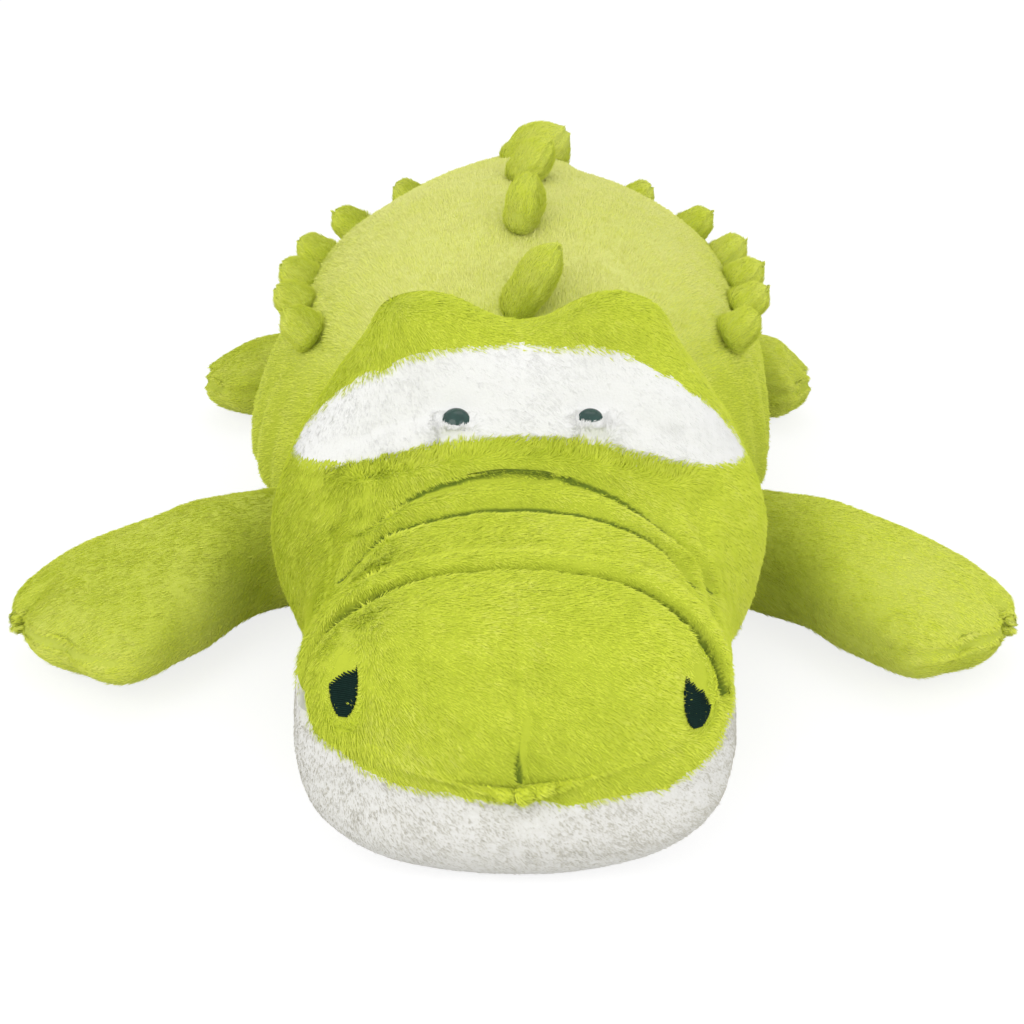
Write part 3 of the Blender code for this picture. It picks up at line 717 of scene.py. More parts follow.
def cloth_material(name, pale_highlight, colour, deep, fold):
    """The cloth that the pile grows from: its knit shows only as a soft unevenness between the blades, and
    the green knit is given darker than the pile as painted shade in those gaps.
    """
    material, tree, shader = new_material(name)
    place = add_node(tree, "ShaderNodeTexCoord", {}, {}, 3)
    blot = add_node(tree, "ShaderNodeTexNoise", {}, {"Vector": place, "Scale": 420.0, "Detail": 3.0})
    tone = add_node(tree, "ShaderNodeAttribute", {"attribute_name": "tone"}, {}, 2)
    ground = mix_colour(tree, step_up(tree, tone, 0.05, 0.45), pale_highlight, colour)
    ground = mix_colour(tree, blot * 0.6, ground, deep)
    # Within a few millimetres of a seam or crease the cloth takes the fold colour as painted shade
    away = add_node(tree, "ShaderNodeAttribute", {"attribute_name": "seam"}, {}, 2)
    near = add_node(tree, "ShaderNodeMapRange", {"interpolation_type": "SMOOTHSTEP"},
                    {0: away.maths("ABSOLUTE", away), 1: 0.0008, 2: 0.0035, 3: 1.0, 4: 0.0})
    tree.links.new(mix_colour(tree, near, ground, fold).socket, shader.inputs["Base Color"])
    fibres = add_node(tree, "ShaderNodeTexNoise", {}, {"Vector": place, "Scale": 700.0, "Detail": 2.0})
    bump = add_node(tree, "ShaderNodeBump", {}, {"Height": fibres, "Distance": 0.0006, "Strength": 0.5})
    tree.links.new(bump.socket, shader.inputs["Normal"])
    set_constants(shader, Roughness=0.95)
    return material


def blotted_material(name, first, second, scale, **constants):
    """A smooth surface whose colour drifts a little between two shades."""
    material, tree, shader = new_material(name)
    place = add_node(tree, "ShaderNodeTexCoord", {}, {}, 3)
    blot = add_node(tree, "ShaderNodeTexNoise", {}, {"Vector": place, "Scale": scale})
    tree.links.new(mix_colour(tree, blot, first, second).socket, shader.inputs["Base Color"])
    set_constants(shader, **constants)
    return material


def brighter(colour, times):
    return tuple(times * part for part in colour)


pile_nodes = PileNodes().tree
green_pile = pile_material("green_pile", lime_pale_highlight, lime_tip, lime_deep, lime_crease_shade, lime_root, 0.12)
white_pile = pile_material("white_pile", white_tip, white_tip, white_warm, white_crease_shade, white_root, 0.15)
green_cloth = cloth_material("green_cloth", lime_pale_highlight, lime_knit_shaded, lime_knit_deep_shaded, lime_crease_shade)
white_cloth = cloth_material("white_cloth", white_tip, white_tip, white_root, white_crease_shade)
jaw_cloth = cloth_material("jaw_cloth", white_tip, white_root, white_warm, white_crease_shade)
# Dark green moulded plastic with a clear skin, satin embroidery thread, and milky moulded nylon
eye_plastic = blotted_material("eye_gloss", eye_green, brighter(eye_green, 2.4), 220.0, Roughness=0.16,
                               Specular_IOR_Level=0.3, Coat_Weight=0.35, Coat_Roughness=0.05)
satin_thread = blotted_material("nostril_thread", thread_green, brighter(thread_green, 2.2), 500.0,
                                Roughness=0.7, Specular_IOR_Level=0.15)
washer_nylon = blotted_material("washer_nylon", white_tip, white_warm, 300.0, Roughness=0.45)
seeds = iter(range(11, 999, 7))


def show(name, mesh, material=None):
    """Puts a mesh into the scene as an object at the origin."""
    obj = bpy.data.objects.new(name, mesh)
    bpy.context.scene.collection.objects.link(obj)
    if material:
        mesh.materials.clear()
        mesh.materials.append(material)
    return obj


def grow(name, mesh, material, density, length, lift, stray):
    """Grows pile on a skin's mesh, so many blades to a square metre, and gives it back as a plain mesh."""
    holder = show(name + "_holder", mesh)
    modifier = holder.modifiers.new("pile", "NODES")
    modifier.node_group = pile_nodes
    values = {"Blades per Area": density, "Length": pile_length * length, "Width": pile_width, "Lift": lift,
              "Stray": stray, "Seed": next(seeds), "Material": material}
    for item in pile_nodes.interface.items_tree:
        if item.in_out == "INPUT" and item.name in values:
            modifier[item.identifier] = values[item.name]
    bpy.context.view_layer.update()
    graph = bpy.context.evaluated_depsgraph_get()
    made = bpy.data.meshes.new_from_object(holder.evaluated_get(graph), depsgraph=graph)
    bpy.data.objects.remove(holder)
    for note in ("shade", "along", "side", "skin_normal"):
        if note in made.attributes:
            made.attributes.remove(made.attributes[note])
    made.name = name
    return show(name, made)


def finish_skin(obj, material, fill, *nodes):
    obj.data.materials.clear()
    obj.data.materials.append(material)
    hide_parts(*nodes)


def lumpy(skin, size, seed, shift=0.0):
    """Soft random swells over a skin, as one number for each of its points."""
    return lumps(skin.grid.reshape(-1, 3) + shift, size, seed).reshape(skin.shape)


def combed(skin, direction):
    """Lays the comb along a direction, or along one at each point, as near as the surface lets it."""
    normals = skin.normals()
    direction = np.broadcast_to(np.asarray(direction, float), normals.shape)
    tangent = direction - normals * (direction * normals).sum(-1, keepdims=True)
    length = np.linalg.norm(tangent, axis=-1, keepdims=True)
    skin.comb = tangent / np.maximum(length, 0.25)


def turn_comb(skin, share, direction):
    """Turns the comb by a share towards a direction, or towards one at each point."""
    share = share[..., None]
    skin.comb = skin.comb * (1 - share) + share * direction


def laid(skin):
    """Lays the comb back into the surface where it was turned."""
    normals = skin.normals()
    skin.comb = skin.comb - normals * (skin.comb * normals).sum(-1, keepdims=True)


def head_form():
    rows = []
    height = 2 * nape_radius
    for share, width_share, height_share, widest_share, squareness in head_shares[::-1]:
        rows.append((nape_y - share * head_length, cheek_half_width * width_share, 0.0, height * height_share,
                     widest_share, squareness))
    rows[-1] = (nape_y, nape_half_width, 0.0, height, 0.5, 2.0)
    muzzle, nape = (muzzle_cap, muzzle_bluntness), (nape_radius, 2.0)
    return Form(rows, nape_y - head_length, nape_y + nape_radius, muzzle, nape)


def torso_form():
    rows = []
    for share, width_share, height_share, widest_share, squareness in torso_shares:
        rows.append((torso_front_y + share * torso_length, torso_half_width * width_share, 0.0,
                     torso_height * height_share, widest_share, squareness))
    return Form(rows, torso_front_y, torso_front_y + torso_length, (torso_front_cap, torso_bluntness),
                (torso_back_cap, torso_bluntness))


def limb_form(leg):
    rows = []
    for share, swell_share, height_share, squareness in limb_shares:
        rows.append((share * leg["length"], leg["radius"] + swell_share * (leg["paw"] - leg["radius"]),
                     -leg["radius"], leg["radius"] * (2 * height_share - 1), 0.5, squareness))
    return Form(rows, -leg["radius"], leg["length"], (leg["radius"], 2.0), (leg["cap"], limb_bluntness))


def tail_form():
    rows = []
    for share, fade_share, squareness in tail_shares:
        half_width = tail_root_radius + fade_share * (tail_end_half_width - tail_root_radius)
        half_height = tail_root_half_height + fade_share * (tail_end_half_height - tail_root_half_height)
        place = tail_root_y + share * (tail_end_y - tail_root_y)
        rows.append((place, half_width, 0.0, 2 * half_height, 0.5, squareness))
    return Form(rows, tail_root_y - tail_root_radius, tail_end_y, (tail_root_radius, 2.0), (tail_cap, 2.0))


def limb_place(leg, side):
    """Where a leg lies: its own Y runs outwards from its joint."""
    x, y, z = leg["joint"]
    turn = math.radians(-90 - leg["turn_deg"] if side > 0 else 90 + leg["turn_deg"])
    return Matrix.Translation((side * x, y, z)) @ Matrix.Rotation(turn, 4, "Z")


head_shape, torso_shape, tail_shape = head_form(), torso_form(), tail_form()
limb_shapes = []
for leg in (front_leg, hind_leg):
    for side in (-1, 1):
        limb_shapes.append((limb_form(leg), np.array(limb_place(leg, side).inverted())))


def inside_limbs(points):
    """How far points lie inside the deepest of the four legs."""
    deepest = np.full(len(points), -1.0)
    for form, back in limb_shapes:
        deepest = np.maximum(deepest, form.depth(points @ back[:3, :3].T + back[:3, 3]))
    return deepest


def bare_inside(skin, depth):
    """Takes the pile off what lies well inside another form."""
    skin.cover = skin.cover * (1 - smooth(0.3, 1.0, depth.reshape(skin.shape) / inside_margin))


def thin_below(skin, share):
    """Keeps only some of the pile on surfaces that face the floor."""
    down = smooth(0.25, 0.8, -skin.normals()[..., 2]) * (1 - smooth(0.02, 0.05, skin.grid[..., 2]))
    skin.cover = skin.cover * (1 - (1 - share) * down)


def angle_from_top(skin):
    return np.degrees(skin.turn)


def raise_brows(skin):
    """Two mounds over the eyes, as in the solids."""
    x, y, _ = np.moveaxis(skin.grid, -1, 0)
    upward = np.maximum(np.cos(skin.turn), 0)
    offset = np.clip((y - brow_y) / brow_length, -1, 1)
    aside = np.abs(x) - brow_spread
    outer = np.exp(-np.abs(aside / brow_outer_width) ** 3)
    ridge = np.where(aside > 0, outer, bell(aside, brow_width))
    skin.grid[..., 2] += brow_rise * np.cos(math.pi / 2 * offset) * ridge * upward**1.2


def fill_face(skin, x, y, z):
    """The brows hang over the white band, and the lower cheeks are full."""
    aside, top = np.abs(x) - brow_spread, angle_from_top(skin)
    hang, hang_height, hang_spread = 0.0060, 0.241, 0.013
    on_face = (y < -0.25) * (y > -0.34)
    skin.push(hang * bell(aside, brow_outer_width) * bell(z - hang_height, hang_spread) * on_face)
    swell, swell_y, swell_length, swell_deg, swell_spread_deg = 0.0110, -0.400, 0.032, 112, 26
    skin.push(swell * bell(y - swell_y, swell_length) * bell(np.abs(top) - swell_deg, swell_spread_deg))


def fold_snout(skin, x, y, z):
    """The three tucks across the snout, and the rolls of cloth between and behind them."""
    top = angle_from_top(skin)
    # Each tuck fades out over its last degrees, and the first is shallow in its middle too; each carries a
    # fine line of painted shade.
    for line, depth, fine in zip(creases, crease_depths, crease_shade_lines):
        rise = read_table(line, top + 1)[0] - read_table(line, top - 1)[0]
        slope = rise / (math.radians(2) * snout_radius)
        distance = (y - read_table(line, top)[0]) / np.sqrt(1 + slope**2)
        first, last = line[0][0], line[-1][0]
        strength = smooth(first - 2, first + 10, top) * (1 - smooth(last - 10, last + 2, top))
        if line is creases[0]:
            depth = depth * (1 - 0.45 * bell(top, 25))
        skin.crease(distance, depth, crease_width, strength, fine)
    # The roll behind the last and deepest tuck stands over the muzzle, which is full in front of it
    roll, front_swell = 0.0060, 0.0020
    over = smooth(-0.001, 0.006, distance) * (1 - smooth(0.012, 0.040, distance)) * strength
    skin.push(roll * over * (1 - 0.75 * smooth(45, 72, np.abs(top))))
    skin.push(front_swell * bell(distance + 0.030, 0.016) * strength)
    # Long folds beside the snout, where the tucks end
    places, turns = np.array(side_fold).T
    fold = np.interp(y, places, turns)
    reach = smooth(-0.475, -0.45, y) * (1 - smooth(-0.345, -0.322, y))
    length_of_degree, fold_depth, fold_width = 0.0022, 0.0026, 0.0090
    skin.crease((np.abs(top) - fold) * length_of_degree, fold_depth, fold_width, reach, line=0)
    # The snout rolls up over the foot of the white band
    foot_roll, foot_groove = 0.0070, 0.0012
    above = z - read_table(band_foot, np.abs(x))[0]
    near = (y < face_y) * (1 - smooth(0.090, 0.125, np.abs(x)))
    skin.push((foot_roll * bell(above + 0.008, 0.007) - foot_groove * bell(above - 0.003, 0.004)) * near)


def shape_muzzle(skin, x, y, z):
    """A seam down the middle of the muzzle, a full chin, and a jaw that narrows towards its foot."""
    seam_depth, seam_width, seam_x = 0.0042, 0.0036, 0.002
    reach = (1 - smooth(-0.508, -0.458, y)) * smooth(0.064, 0.084, z)
    wander = x - seam_x + 0.0006 * np.sin(z * 160)
    skin.push(-seam_depth * np.exp(-np.abs(wander) / seam_width) * reach)
    # A thin line of painted shade runs along the seam's groove
    skin.near_seam(np.where(reach > 0.3, np.maximum(np.abs(wander) * 3.2, 0.0006), far_off))
    chin_swell, jaw_trim_share, jaw_height = 0.0080, 0.17, 0.070
    skin.push(chin_swell * (1 - smooth(0.030, 0.066, z)) * (1 - smooth(-0.520, -0.450, y)))
    low = np.clip((jaw_height - z) / jaw_height, 0, 1) ** 1.5
    trim = jaw_trim_share * low * (1 - smooth(-0.50, -0.42, y))
    skin.grid[..., 0] *= 1 - trim


def seat_features(skin, x, y, z):
    """A pucker in the chin, a swell of the band over each eye's lower half, and a dent for each nostril."""
    pucker, under_swell, over_dent, nostril_dent = 0.002, 0.0072, 0.0012, 0.0035
    jaw_reach = (1 - smooth(-0.50, -0.48, y)) * (1 - smooth(0.045, 0.06, z)) * smooth(0.012, 0.030, z)
    skin.push(-pucker * bell(x, 0.006) * jaw_reach)
    skin.seats = [skin.nearest((across, -0.315, height)) for _, across, height in eye_places]
    for _, across, height in eye_places:
        near = bell(x - across, 0.014) * (y < face_y)
        under, over = bell(z - height + 0.0056, 0.0058), bell(z - height - 0.006, 0.006)
        skin.push((under_swell * under - over_dent * over) * near)
    for _, across, height in nostril_places:
        skin.push(-nostril_dent * bell(x - across, 0.011) * bell(z - height, 0.018) * (y < muzzle_y))


def cut_head(skin):
    """How far each point lies inside the band and the jaw, whose edges are ragged, and which are in front."""
    x, y, z = np.moveaxis(skin.grid, -1, 0)
    coarse_size, fine_size = 0.012, 0.006
    ragged = 0.0022 * lumpy(skin, coarse_size, 2)
    fine = 0.0016 * lumpy(skin, fine_size, 12)
    foot, lid = read_table(band_foot, np.abs(x))[0], read_table(band_top, np.abs(x))[0]
    in_band = np.where(y < band_y, np.minimum(z - foot - fine, lid + ragged - z), -1)
    tip = nape_y - head_length
    lip = read_table(lip_places, x)[0] + np.minimum((y - tip) * lip_slope, lip_climb)
    in_jaw = np.minimum(lip + ragged * 1.2 - z, tip + jaw_length + ragged - y)
    front = (y < crown_y) & (z < foot + 0.010)
    return in_band, in_jaw, front


def comb_head(skin):
    """Combs the head, leaves the eyes and nostrils bare, and gives back how near each point lies to them."""
    x, y, z = np.moveaxis(skin.grid, -1, 0)
    foot = read_table(band_foot, np.abs(x))[0]
    # The pile lies down, and to one side on all but the left cheek, where it would stand out from the cloth
    combed(skin, np.stack((0.9 * smooth(-0.12, -0.02, x), -0.1 + 0 * x, -0.6 + 0 * x), -1))
    # It points up at the foot of the band, and stands up like a row of lashes under each eye
    rim_of_snout = 0.8 * bell(z - foot + 0.002, 0.004) * (y < face_y) * (1 - smooth(0.10, 0.13, np.abs(x)))
    turn_comb(skin, rim_of_snout, np.array((0, 0.2, 0.6)))
    near_eyes, near_nostrils = np.zeros(skin.shape), np.zeros(skin.shape)
    for _, across, height in eye_places:
        away = np.hypot(x - across, z - height)
        lash = bell(away - eye_radius, 0.006) * (1 - smooth(-0.002, 0.005, z - height)) * (y < face_y)
        turn_comb(skin, lash, np.array((0, 0.3, 0.9)))
        wide, tall = eye_opening
        opening = ((x - across) / wide) ** 2 + ((z - height - eye_opening_rise) / tall) ** 2
        skin.cover = skin.cover * np.where((opening < 1) & (y < face_y), 0, 1)
        near_eyes = np.maximum(near_eyes, bell(away, 0.017) * smooth(-0.004, 0.004, z - height))
    for _, across, height in nostril_places:
        hole = ((x - across) / nostril_opening[0]) ** 2 + ((z - height) / nostril_opening[1]) ** 2
        skin.cover = skin.cover * np.where((hole < 1) & (y < muzzle_y), 0, 1)
        inward = np.stack((across - x, 0 * x, height - z), -1)
        inward = inward / np.maximum(np.linalg.norm(inward, axis=-1, keepdims=True), 0.004)
        rim = bell(np.sqrt(hole) - 1.15, 0.35) * (y < muzzle_y)
        turn_comb(skin, rim, inward)
        near_nostrils = np.maximum(near_nostrils, rim)
    laid(skin)
    return near_eyes, near_nostrils


def make_head():
    """The head's skin in its four cuts of cloth, and the pile that grows on each."""
    skin = Skin(head_shape, *head_grid, steep_face)
    raise_brows(skin)
    places = np.moveaxis(skin.grid, -1, 0)
    fill_face(skin, *places)
    fold_snout(skin, *places)
    shape_muzzle(skin, *places)
    seat_features(skin, *np.moveaxis(skin.grid, -1, 0))
    skin.push(0.0016 * lumpy(skin, 0.05, 1))
    skin.settle()

    in_band, in_jaw, front = cut_head(skin)
    near_eyes, near_nostrils = comb_head(skin)
    skin.tone = 0.50 + 0.14 * lumpy(skin, 0.06, 3)
    bare_inside(skin, torso_shape.depth(skin.flat("grid")))
    thin_below(skin, 0.15)

    band, jaw, left = in_band > 0, in_jaw > 0, skin.grid[..., 0] < 0
    pieces = []
    for name, region, cloth, nodes in (
        ("crown", ~band & ~jaw & ~front, green_cloth, ("crown_panel", "head_stuffing")),
        ("eye_band", band, white_cloth, ("eye_band_panel",)),
        ("snout", front & ~band & ~jaw, green_cloth, ("snout_panel",)),
        ("jaw", jaw, jaw_cloth, ("jaw_panel",)),
    ):
        cloth_piece = show(name + "_cloth", skin.mesh(name + "_cloth", region))
        finish_skin(cloth_piece, cloth, body_fill, *nodes)
        pieces.append(cloth_piece)
    # Each colour of pile thins out softly where the other begins
    band_share, jaw_share = (smooth(-edge_softness, edge_softness, inside) for inside in (in_band, in_jaw))
    green_share = (1 - band_share) * (1 - jaw_share)
    snout_notes = {"pile": 0.9 - 0.45 * near_nostrils}
    for name, region, share, material, density, lift, notes in (
        ("crown_pile_left", ~front & left, green_share, green_pile, 11e5, 0.36, {"pile": 0.85}),
        ("crown_pile_right", ~front & ~left, green_share, green_pile, 11e5, 0.36, {"pile": 0.85}),
        ("snout_pile_left", front & left, green_share, green_pile, 12e5, 0.38, snout_notes),
        ("snout_pile_right", front & ~left, green_share, green_pile, 12e5, 0.38, snout_notes),
        ("eye_band_pile", band_share > -1, band_share, white_pile, 16e5, 0.27,
         {"tone": 0.25, "pile": 0.66 - 0.34 * near_eyes}),
        ("jaw_pile", jaw_share > -1, jaw_share, white_pile, 12e5, 0.32, {"tone": 0.70, "pile": 0.58}),
    ):
        mesh = skin.mesh(name, region, cover=skin.cover * share, **notes)
        stray = 0.22 if material is white_pile else 0.32
        pieces.append(grow(name, mesh, material, density, length=1.0, lift=lift, stray=stray))
    for piece in pieces:
        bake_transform(piece)
    return skin


def shape_torso(skin):
    """Side seams, a seam on the spine, soft folds in the flanks, and a rump that rises to the last spike."""
    top = angle_from_top(skin)
    x, y, z = np.moveaxis(skin.grid, -1, 0)
    for side in (-1, 1):
        near = (x * side > 0.05) * 1.0
        skin.crease(np.where(x * side > 0, z - side_seam_height, far_off), 0.003, 0.004, near, line=0)
    skin.crease(x, 0.003, 0.004, (np.abs(top) < 70) * (1 - smooth(-0.13, -0.10, y)), line=0)
    below_back, above_belly = smooth(58, 78, np.abs(top)), 1 - smooth(105, 125, np.abs(top))
    for place, depth in flank_folds:
        bent = y - place - 0.10 * (z - 0.08) ** 2 / 0.08
        skin.push(-depth * bell(bent, 0.010) * below_back * above_belly)
    skin.push(0.0030 * lumpy(skin, 0.09, 4))
    # The left flank bulges under its side seam and the right one is drawn in
    bulge, dip = 0.009 * bell(top + 92, 30), 0.006 * bell(top - 92, 30)
    skin.push((bulge - dip) * bell(y + 0.055, 0.09))
    rise, left_slope, right_slope = 0.019, smooth(-0.11, 0.02, x), 1 - smooth(0.025, 0.05, x)
    skin.push(rise * left_slope * right_slope * bell(y - 0.205, 0.06) * (np.abs(top) < 60))
    skin.settle()


def make_torso():
    """The torso's skin in its two cuts of cloth, paler on top by a painted highlight, and thicker in its pile
    there.
    """
    skin = Skin(torso_shape, *torso_grid)
    shape_torso(skin)
    x, y, z = np.moveaxis(skin.grid, -1, 0)
    aside = np.abs(x)
    outward = np.stack((0.5 * np.sign(x) * smooth(0.02, 0.15, aside), np.ones_like(x),
                        -0.7 * smooth(0.06, 0.18, aside)), -1)
    combed(skin, outward)
    # Painted highlight: the pile and cloth grow paler towards the top of the back
    pale_highlight = smooth(0.12, 0.21, z)
    skin.tone = 0.50 - 0.42 * pale_highlight + 0.10 * lumpy(skin, 0.08, 5)
    cloth = skin.flat("grid")
    others = np.maximum(head_shape.depth(cloth), inside_limbs(cloth))
    bare_inside(skin, np.maximum(others, tail_shape.depth(cloth)))
    thin_below(skin, 0.12)
    upper = z > side_seam_height - pile_stand
    for name, region, nodes, density in (("back", upper, ("back_panel", "torso_stuffing"), 9e5),
                                         ("belly", ~upper, ("belly_panel",), 6e5)):
        cloth_piece = show(name + "_cloth", skin.mesh(name + "_cloth", region))
        finish_skin(cloth_piece, green_cloth, body_fill, *nodes)
        pieces = [cloth_piece]
        for side_name, half in (("left", x < 0), ("right", x >= 0)):
            mesh = skin.mesh(name, region & half)
            pile_name = name + "_pile_" + side_name
            pieces.append(grow(pile_name, mesh, green_pile, density, length=0.95, lift=0.34, stray=0.3))
        for piece in pieces:
            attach(piece, "torso")


def shape_leg(skin, leg, side):
    """A seam between the top and the sole, grooves between the toes, and a paw that spreads to the front."""
    x, y, z = np.moveaxis(skin.grid, -1, 0)
    length, paw = leg["length"], leg["paw"]
    ahead, share, front = side * x, y / length, side > 0
    far = smooth(length * 0.55, length, y)
    shown = leg["seam"] * far * (ahead > 0) + (1 - leg["seam"])
    skin.crease(z, 0.0022, 0.0032, smooth(0, 0.02, y) * (0.25 + 0.75 * shown), line=0)
    # A line of painted shade runs along the seam where it shows
    skin.near_seam(np.where(shown * far > 0.3, np.maximum(np.abs(z) * 4, 0.0034), far_off))
    for place in toe_grooves:
        groove = smooth(length - 0.040, length - 0.010, y)
        skin.push(-0.0055 * bell(ahead - place * paw, 0.0090) * groove)
    spread = leg["spread"][front] * smooth(0.1, 0.5, share) * (1 - 0.5 * smooth(0.75, 1.0, share))
    trim = 0.30 * smooth(0.45, 1.0, share) * np.clip(-ahead / paw, 0, 1)
    skin.grid[..., 0] += side * (spread * np.clip(ahead / paw, 0, 1) + trim * paw)
    skin.grid[..., 1] += leg["reach"][front] * smooth(0.2, 1.0, share)
    skin.grid[..., 2] -= 0.30 * smooth(0.5, 1.0, share) * np.maximum(z, 0)
    # The upper arm stands a little higher than its solid
    raised = leg["raise"] * bell(y - 0.3 * length, 0.35 * length)
    skin.grid[..., 2] += raised * (z > 0) * z / leg["radius"]
    skin.push(0.0018 * lumpy(skin, 0.05, 6, side))
    skin.push(np.full(skin.shape, -pile_stand))


def make_leg(name, leg, side):
    """A leg's skin and its pile, which is short where the paw's seams meet at its tip."""
    skin = Skin(limb_form(leg), *leg_grid)
    shape_leg(skin, leg, side)
    combed(skin, (0, 1, -0.15))
    skin.pile = 0.9 - 0.55 * bell(np.linalg.norm(skin.grid - skin.grid[-1, 0], axis=-1), 0.013)
    skin.place(limb_place(leg, side))
    skin.grid[..., 2] = np.maximum(skin.grid[..., 2], cloth_floor)
    skin.tone = 0.37 + 0.08 * lumpy(skin, 0.06, 7)
    cloth = skin.flat("grid")
    bare_inside(skin, np.maximum(torso_shape.depth(cloth), head_shape.depth(cloth)))
    thin_below(skin, 0.2)
    cloth_piece = show(name + "_cloth", skin.mesh(name))
    finish_skin(cloth_piece, green_cloth, leg_fill, name + "_top", name + "_sole", name + "_stuffing")
    pile = grow(name + "_pile", skin.mesh(name), green_pile, 10.5e5, length=1.0, lift=0.31, stray=0.22)
    for piece in (cloth_piece, pile):
        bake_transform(piece)


def make_tail():
    """The tail's skin, sewn round its edge, and its pile."""
    skin = Skin(tail_shape, *tail_grid)
    x, y, z = np.moveaxis(skin.grid, -1, 0)
    level = skin.form.section(skin.y)[2]
    # The sewn edge near the root is drawn in, with a fine line of painted shade along it
    skin.crease(z - level, 0.002, 0.003, smooth(tail_root_y - 0.02, tail_root_y + 0.02, y), line=2.6)
    skin.push(0.0020 * lumpy(skin, 0.06, 8))
    skin.settle()
    combed(skin, (0, 1, 0))
    skin.tone = 0.42 + 0.12 * lumpy(skin, 0.06, 9)
    bare_inside(skin, torso_shape.depth(skin.flat("grid")))
    thin_below(skin, 0.15)
    cloth_piece = show("tail_cloth", skin.mesh("tail_cloth"))
    finish_skin(cloth_piece, green_cloth, body_fill, "tail_top", "tail_sole", "tail_stuffing")
    pile = grow("tail_pile", skin.mesh("tail_pile"), green_pile, 7e5, length=1.0, lift=0.36, stray=0.3)
    for piece in (cloth_piece, pile):
        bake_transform(piece)


def make_spike(name, size, place, direction, seed, broad=1.0, foot=1.05):
    """A stuffed lobe with a seam round its edge, wide at its foot, leaning the way it stands."""
    length, thickness, height = size
    rows = []
    for share, width, squareness in ((0.0, foot, 2.0), (0.35, 0.97, 2.0), (0.7, 0.80, 2.0), (1.0, 0.50, 2.0)):
        half = width * thickness / 2 * broad
        rows.append((share * height, width * length / 2, -half, half, 0.5, squareness))
    form = Form(rows, -0.35 * height, height, (0.35 * height, 2.0), (0.45 * height, 2.0))
    skin = Skin(form, *spike_grid)
    skin.crease(skin.grid[..., 2], 0.0015, 0.0022, smooth(0.1 * height, 0.3 * height, skin.y), line=0)
    skin.push(0.0012 * lumpy(skin, 0.02, seed, seed))
    skin.push(np.full(skin.shape, -0.6 * pile_stand))
    combed(skin, (0, 1, 0))
    out = Vector(direction).normalized()
    ahead = Vector((0, 1, 0))
    across = ahead.cross(out).normalized()
    turn = Matrix((out.cross(across), out, across)).transposed()
    skin.place(Matrix.Translation(place) @ turn.to_4x4())
    skin.tone = 0.36 + 0.08 * lumpy(skin, 0.03, seed)
    skin.pile = 1 - 0.45 * smooth(0.6 * height, height, skin.y)
    bare_inside(skin, torso_shape.depth(skin.flat("grid")) - 0.002)
    cloth_piece = show(name + "_cloth", skin.mesh(name))
    finish_skin(cloth_piece, green_cloth, spike_fill, name)
    pile = grow(name + "_pile", skin.mesh(name), green_pile, 11e5, length=0.85, lift=0.38, stray=0.28)
    for piece in (cloth_piece, pile):
        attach(piece, "torso")


def surface_point(y, turn_deg):
    return Vector(torso_shape.points(np.array([y]), np.array([math.radians(turn_deg)]))[0])


def side_place(y, side):
    """Where the side seam runs at one place along the torso."""
    turns = np.radians(np.linspace(5, 100, 400))
    points = torso_shape.points(np.full(400, y), turns)
    point = points[np.argmin(np.abs(points[:, 2] - side_seam_height))]
    return Vector((side * point[0], y, side_seam_height))


def make_spikes():
    """Four spikes along the spine, each with its own lean and height, and six in each side seam."""
    length, thickness, height = spine_spike
    rows = zip(spine_place_shares, spine_lean_deg, spine_height_shares, spine_broad_shares)
    for count, (share, lean_deg, height_share, broad) in enumerate(rows, start=1):
        y = torso_front_y + share * torso_length
        lean = math.radians(lean_deg)
        make_spike("spine_spike_%d" % count, (length, thickness, height * height_share), surface_point(y, 0),
                   (math.sin(lean), 0, math.cos(lean)), spine_seed + count, broad, spine_foot_share)
    tilt = math.radians(side_tilt_deg)
    for side_name, side in (("left", -1), ("right", 1)):
        for count, share in enumerate(side_place_shares, start=1):
            y = torso_front_y + share * torso_length
            direction = (side * math.cos(tilt), 0, math.sin(tilt))
            make_spike("side_spike_%s_%d" % (side_name, count), side_spike, side_place(y, side), direction,
                       side_seed + count + 10 * (side > 0))


def join_rings(bm, first, second):
    """Faces between two rings of as many corners."""
    for corner in range(len(first)):
        after = (corner + 1) % len(first)
        bm.faces.new((first[corner], first[after], second[after], second[corner]))


def dome_mesh(name, height, depth):
    """A dome of the eye's radius with a shallow back, standing up its own Z."""
    bm = bmesh.new()
    bmesh.ops.create_uvsphere(bm, u_segments=48, v_segments=32, radius=1.0)
    for vert in bm.verts:
        vert.co.z *= height if vert.co.z > 0 else depth
        vert.co.x *= eye_radius
        vert.co.y *= eye_radius
    mesh = bpy.data.meshes.new(name)
    bm.to_mesh(mesh)
    bm.free()
    mesh.shade_smooth()
    return mesh


def washer_mesh(name):
    """A round washer with a raised rim and a hub, turned about its own Z."""
    bm = bmesh.new()
    rings = []
    for step in range(washer_steps):
        turn = 2 * math.pi * step / washer_steps
        cosine, sine = math.cos(turn), math.sin(turn)
        rings.append([bm.verts.new((radius * cosine, radius * sine, up)) for radius, up in washer_outline])
    for first, second in zip(rings, rings[1:] + rings[:1]):
        join_rings(bm, first, second)
    bmesh.ops.recalc_face_normals(bm, faces=bm.faces)
    mesh = bpy.data.meshes.new(name)
    bm.to_mesh(mesh)
    bm.free()
    return mesh


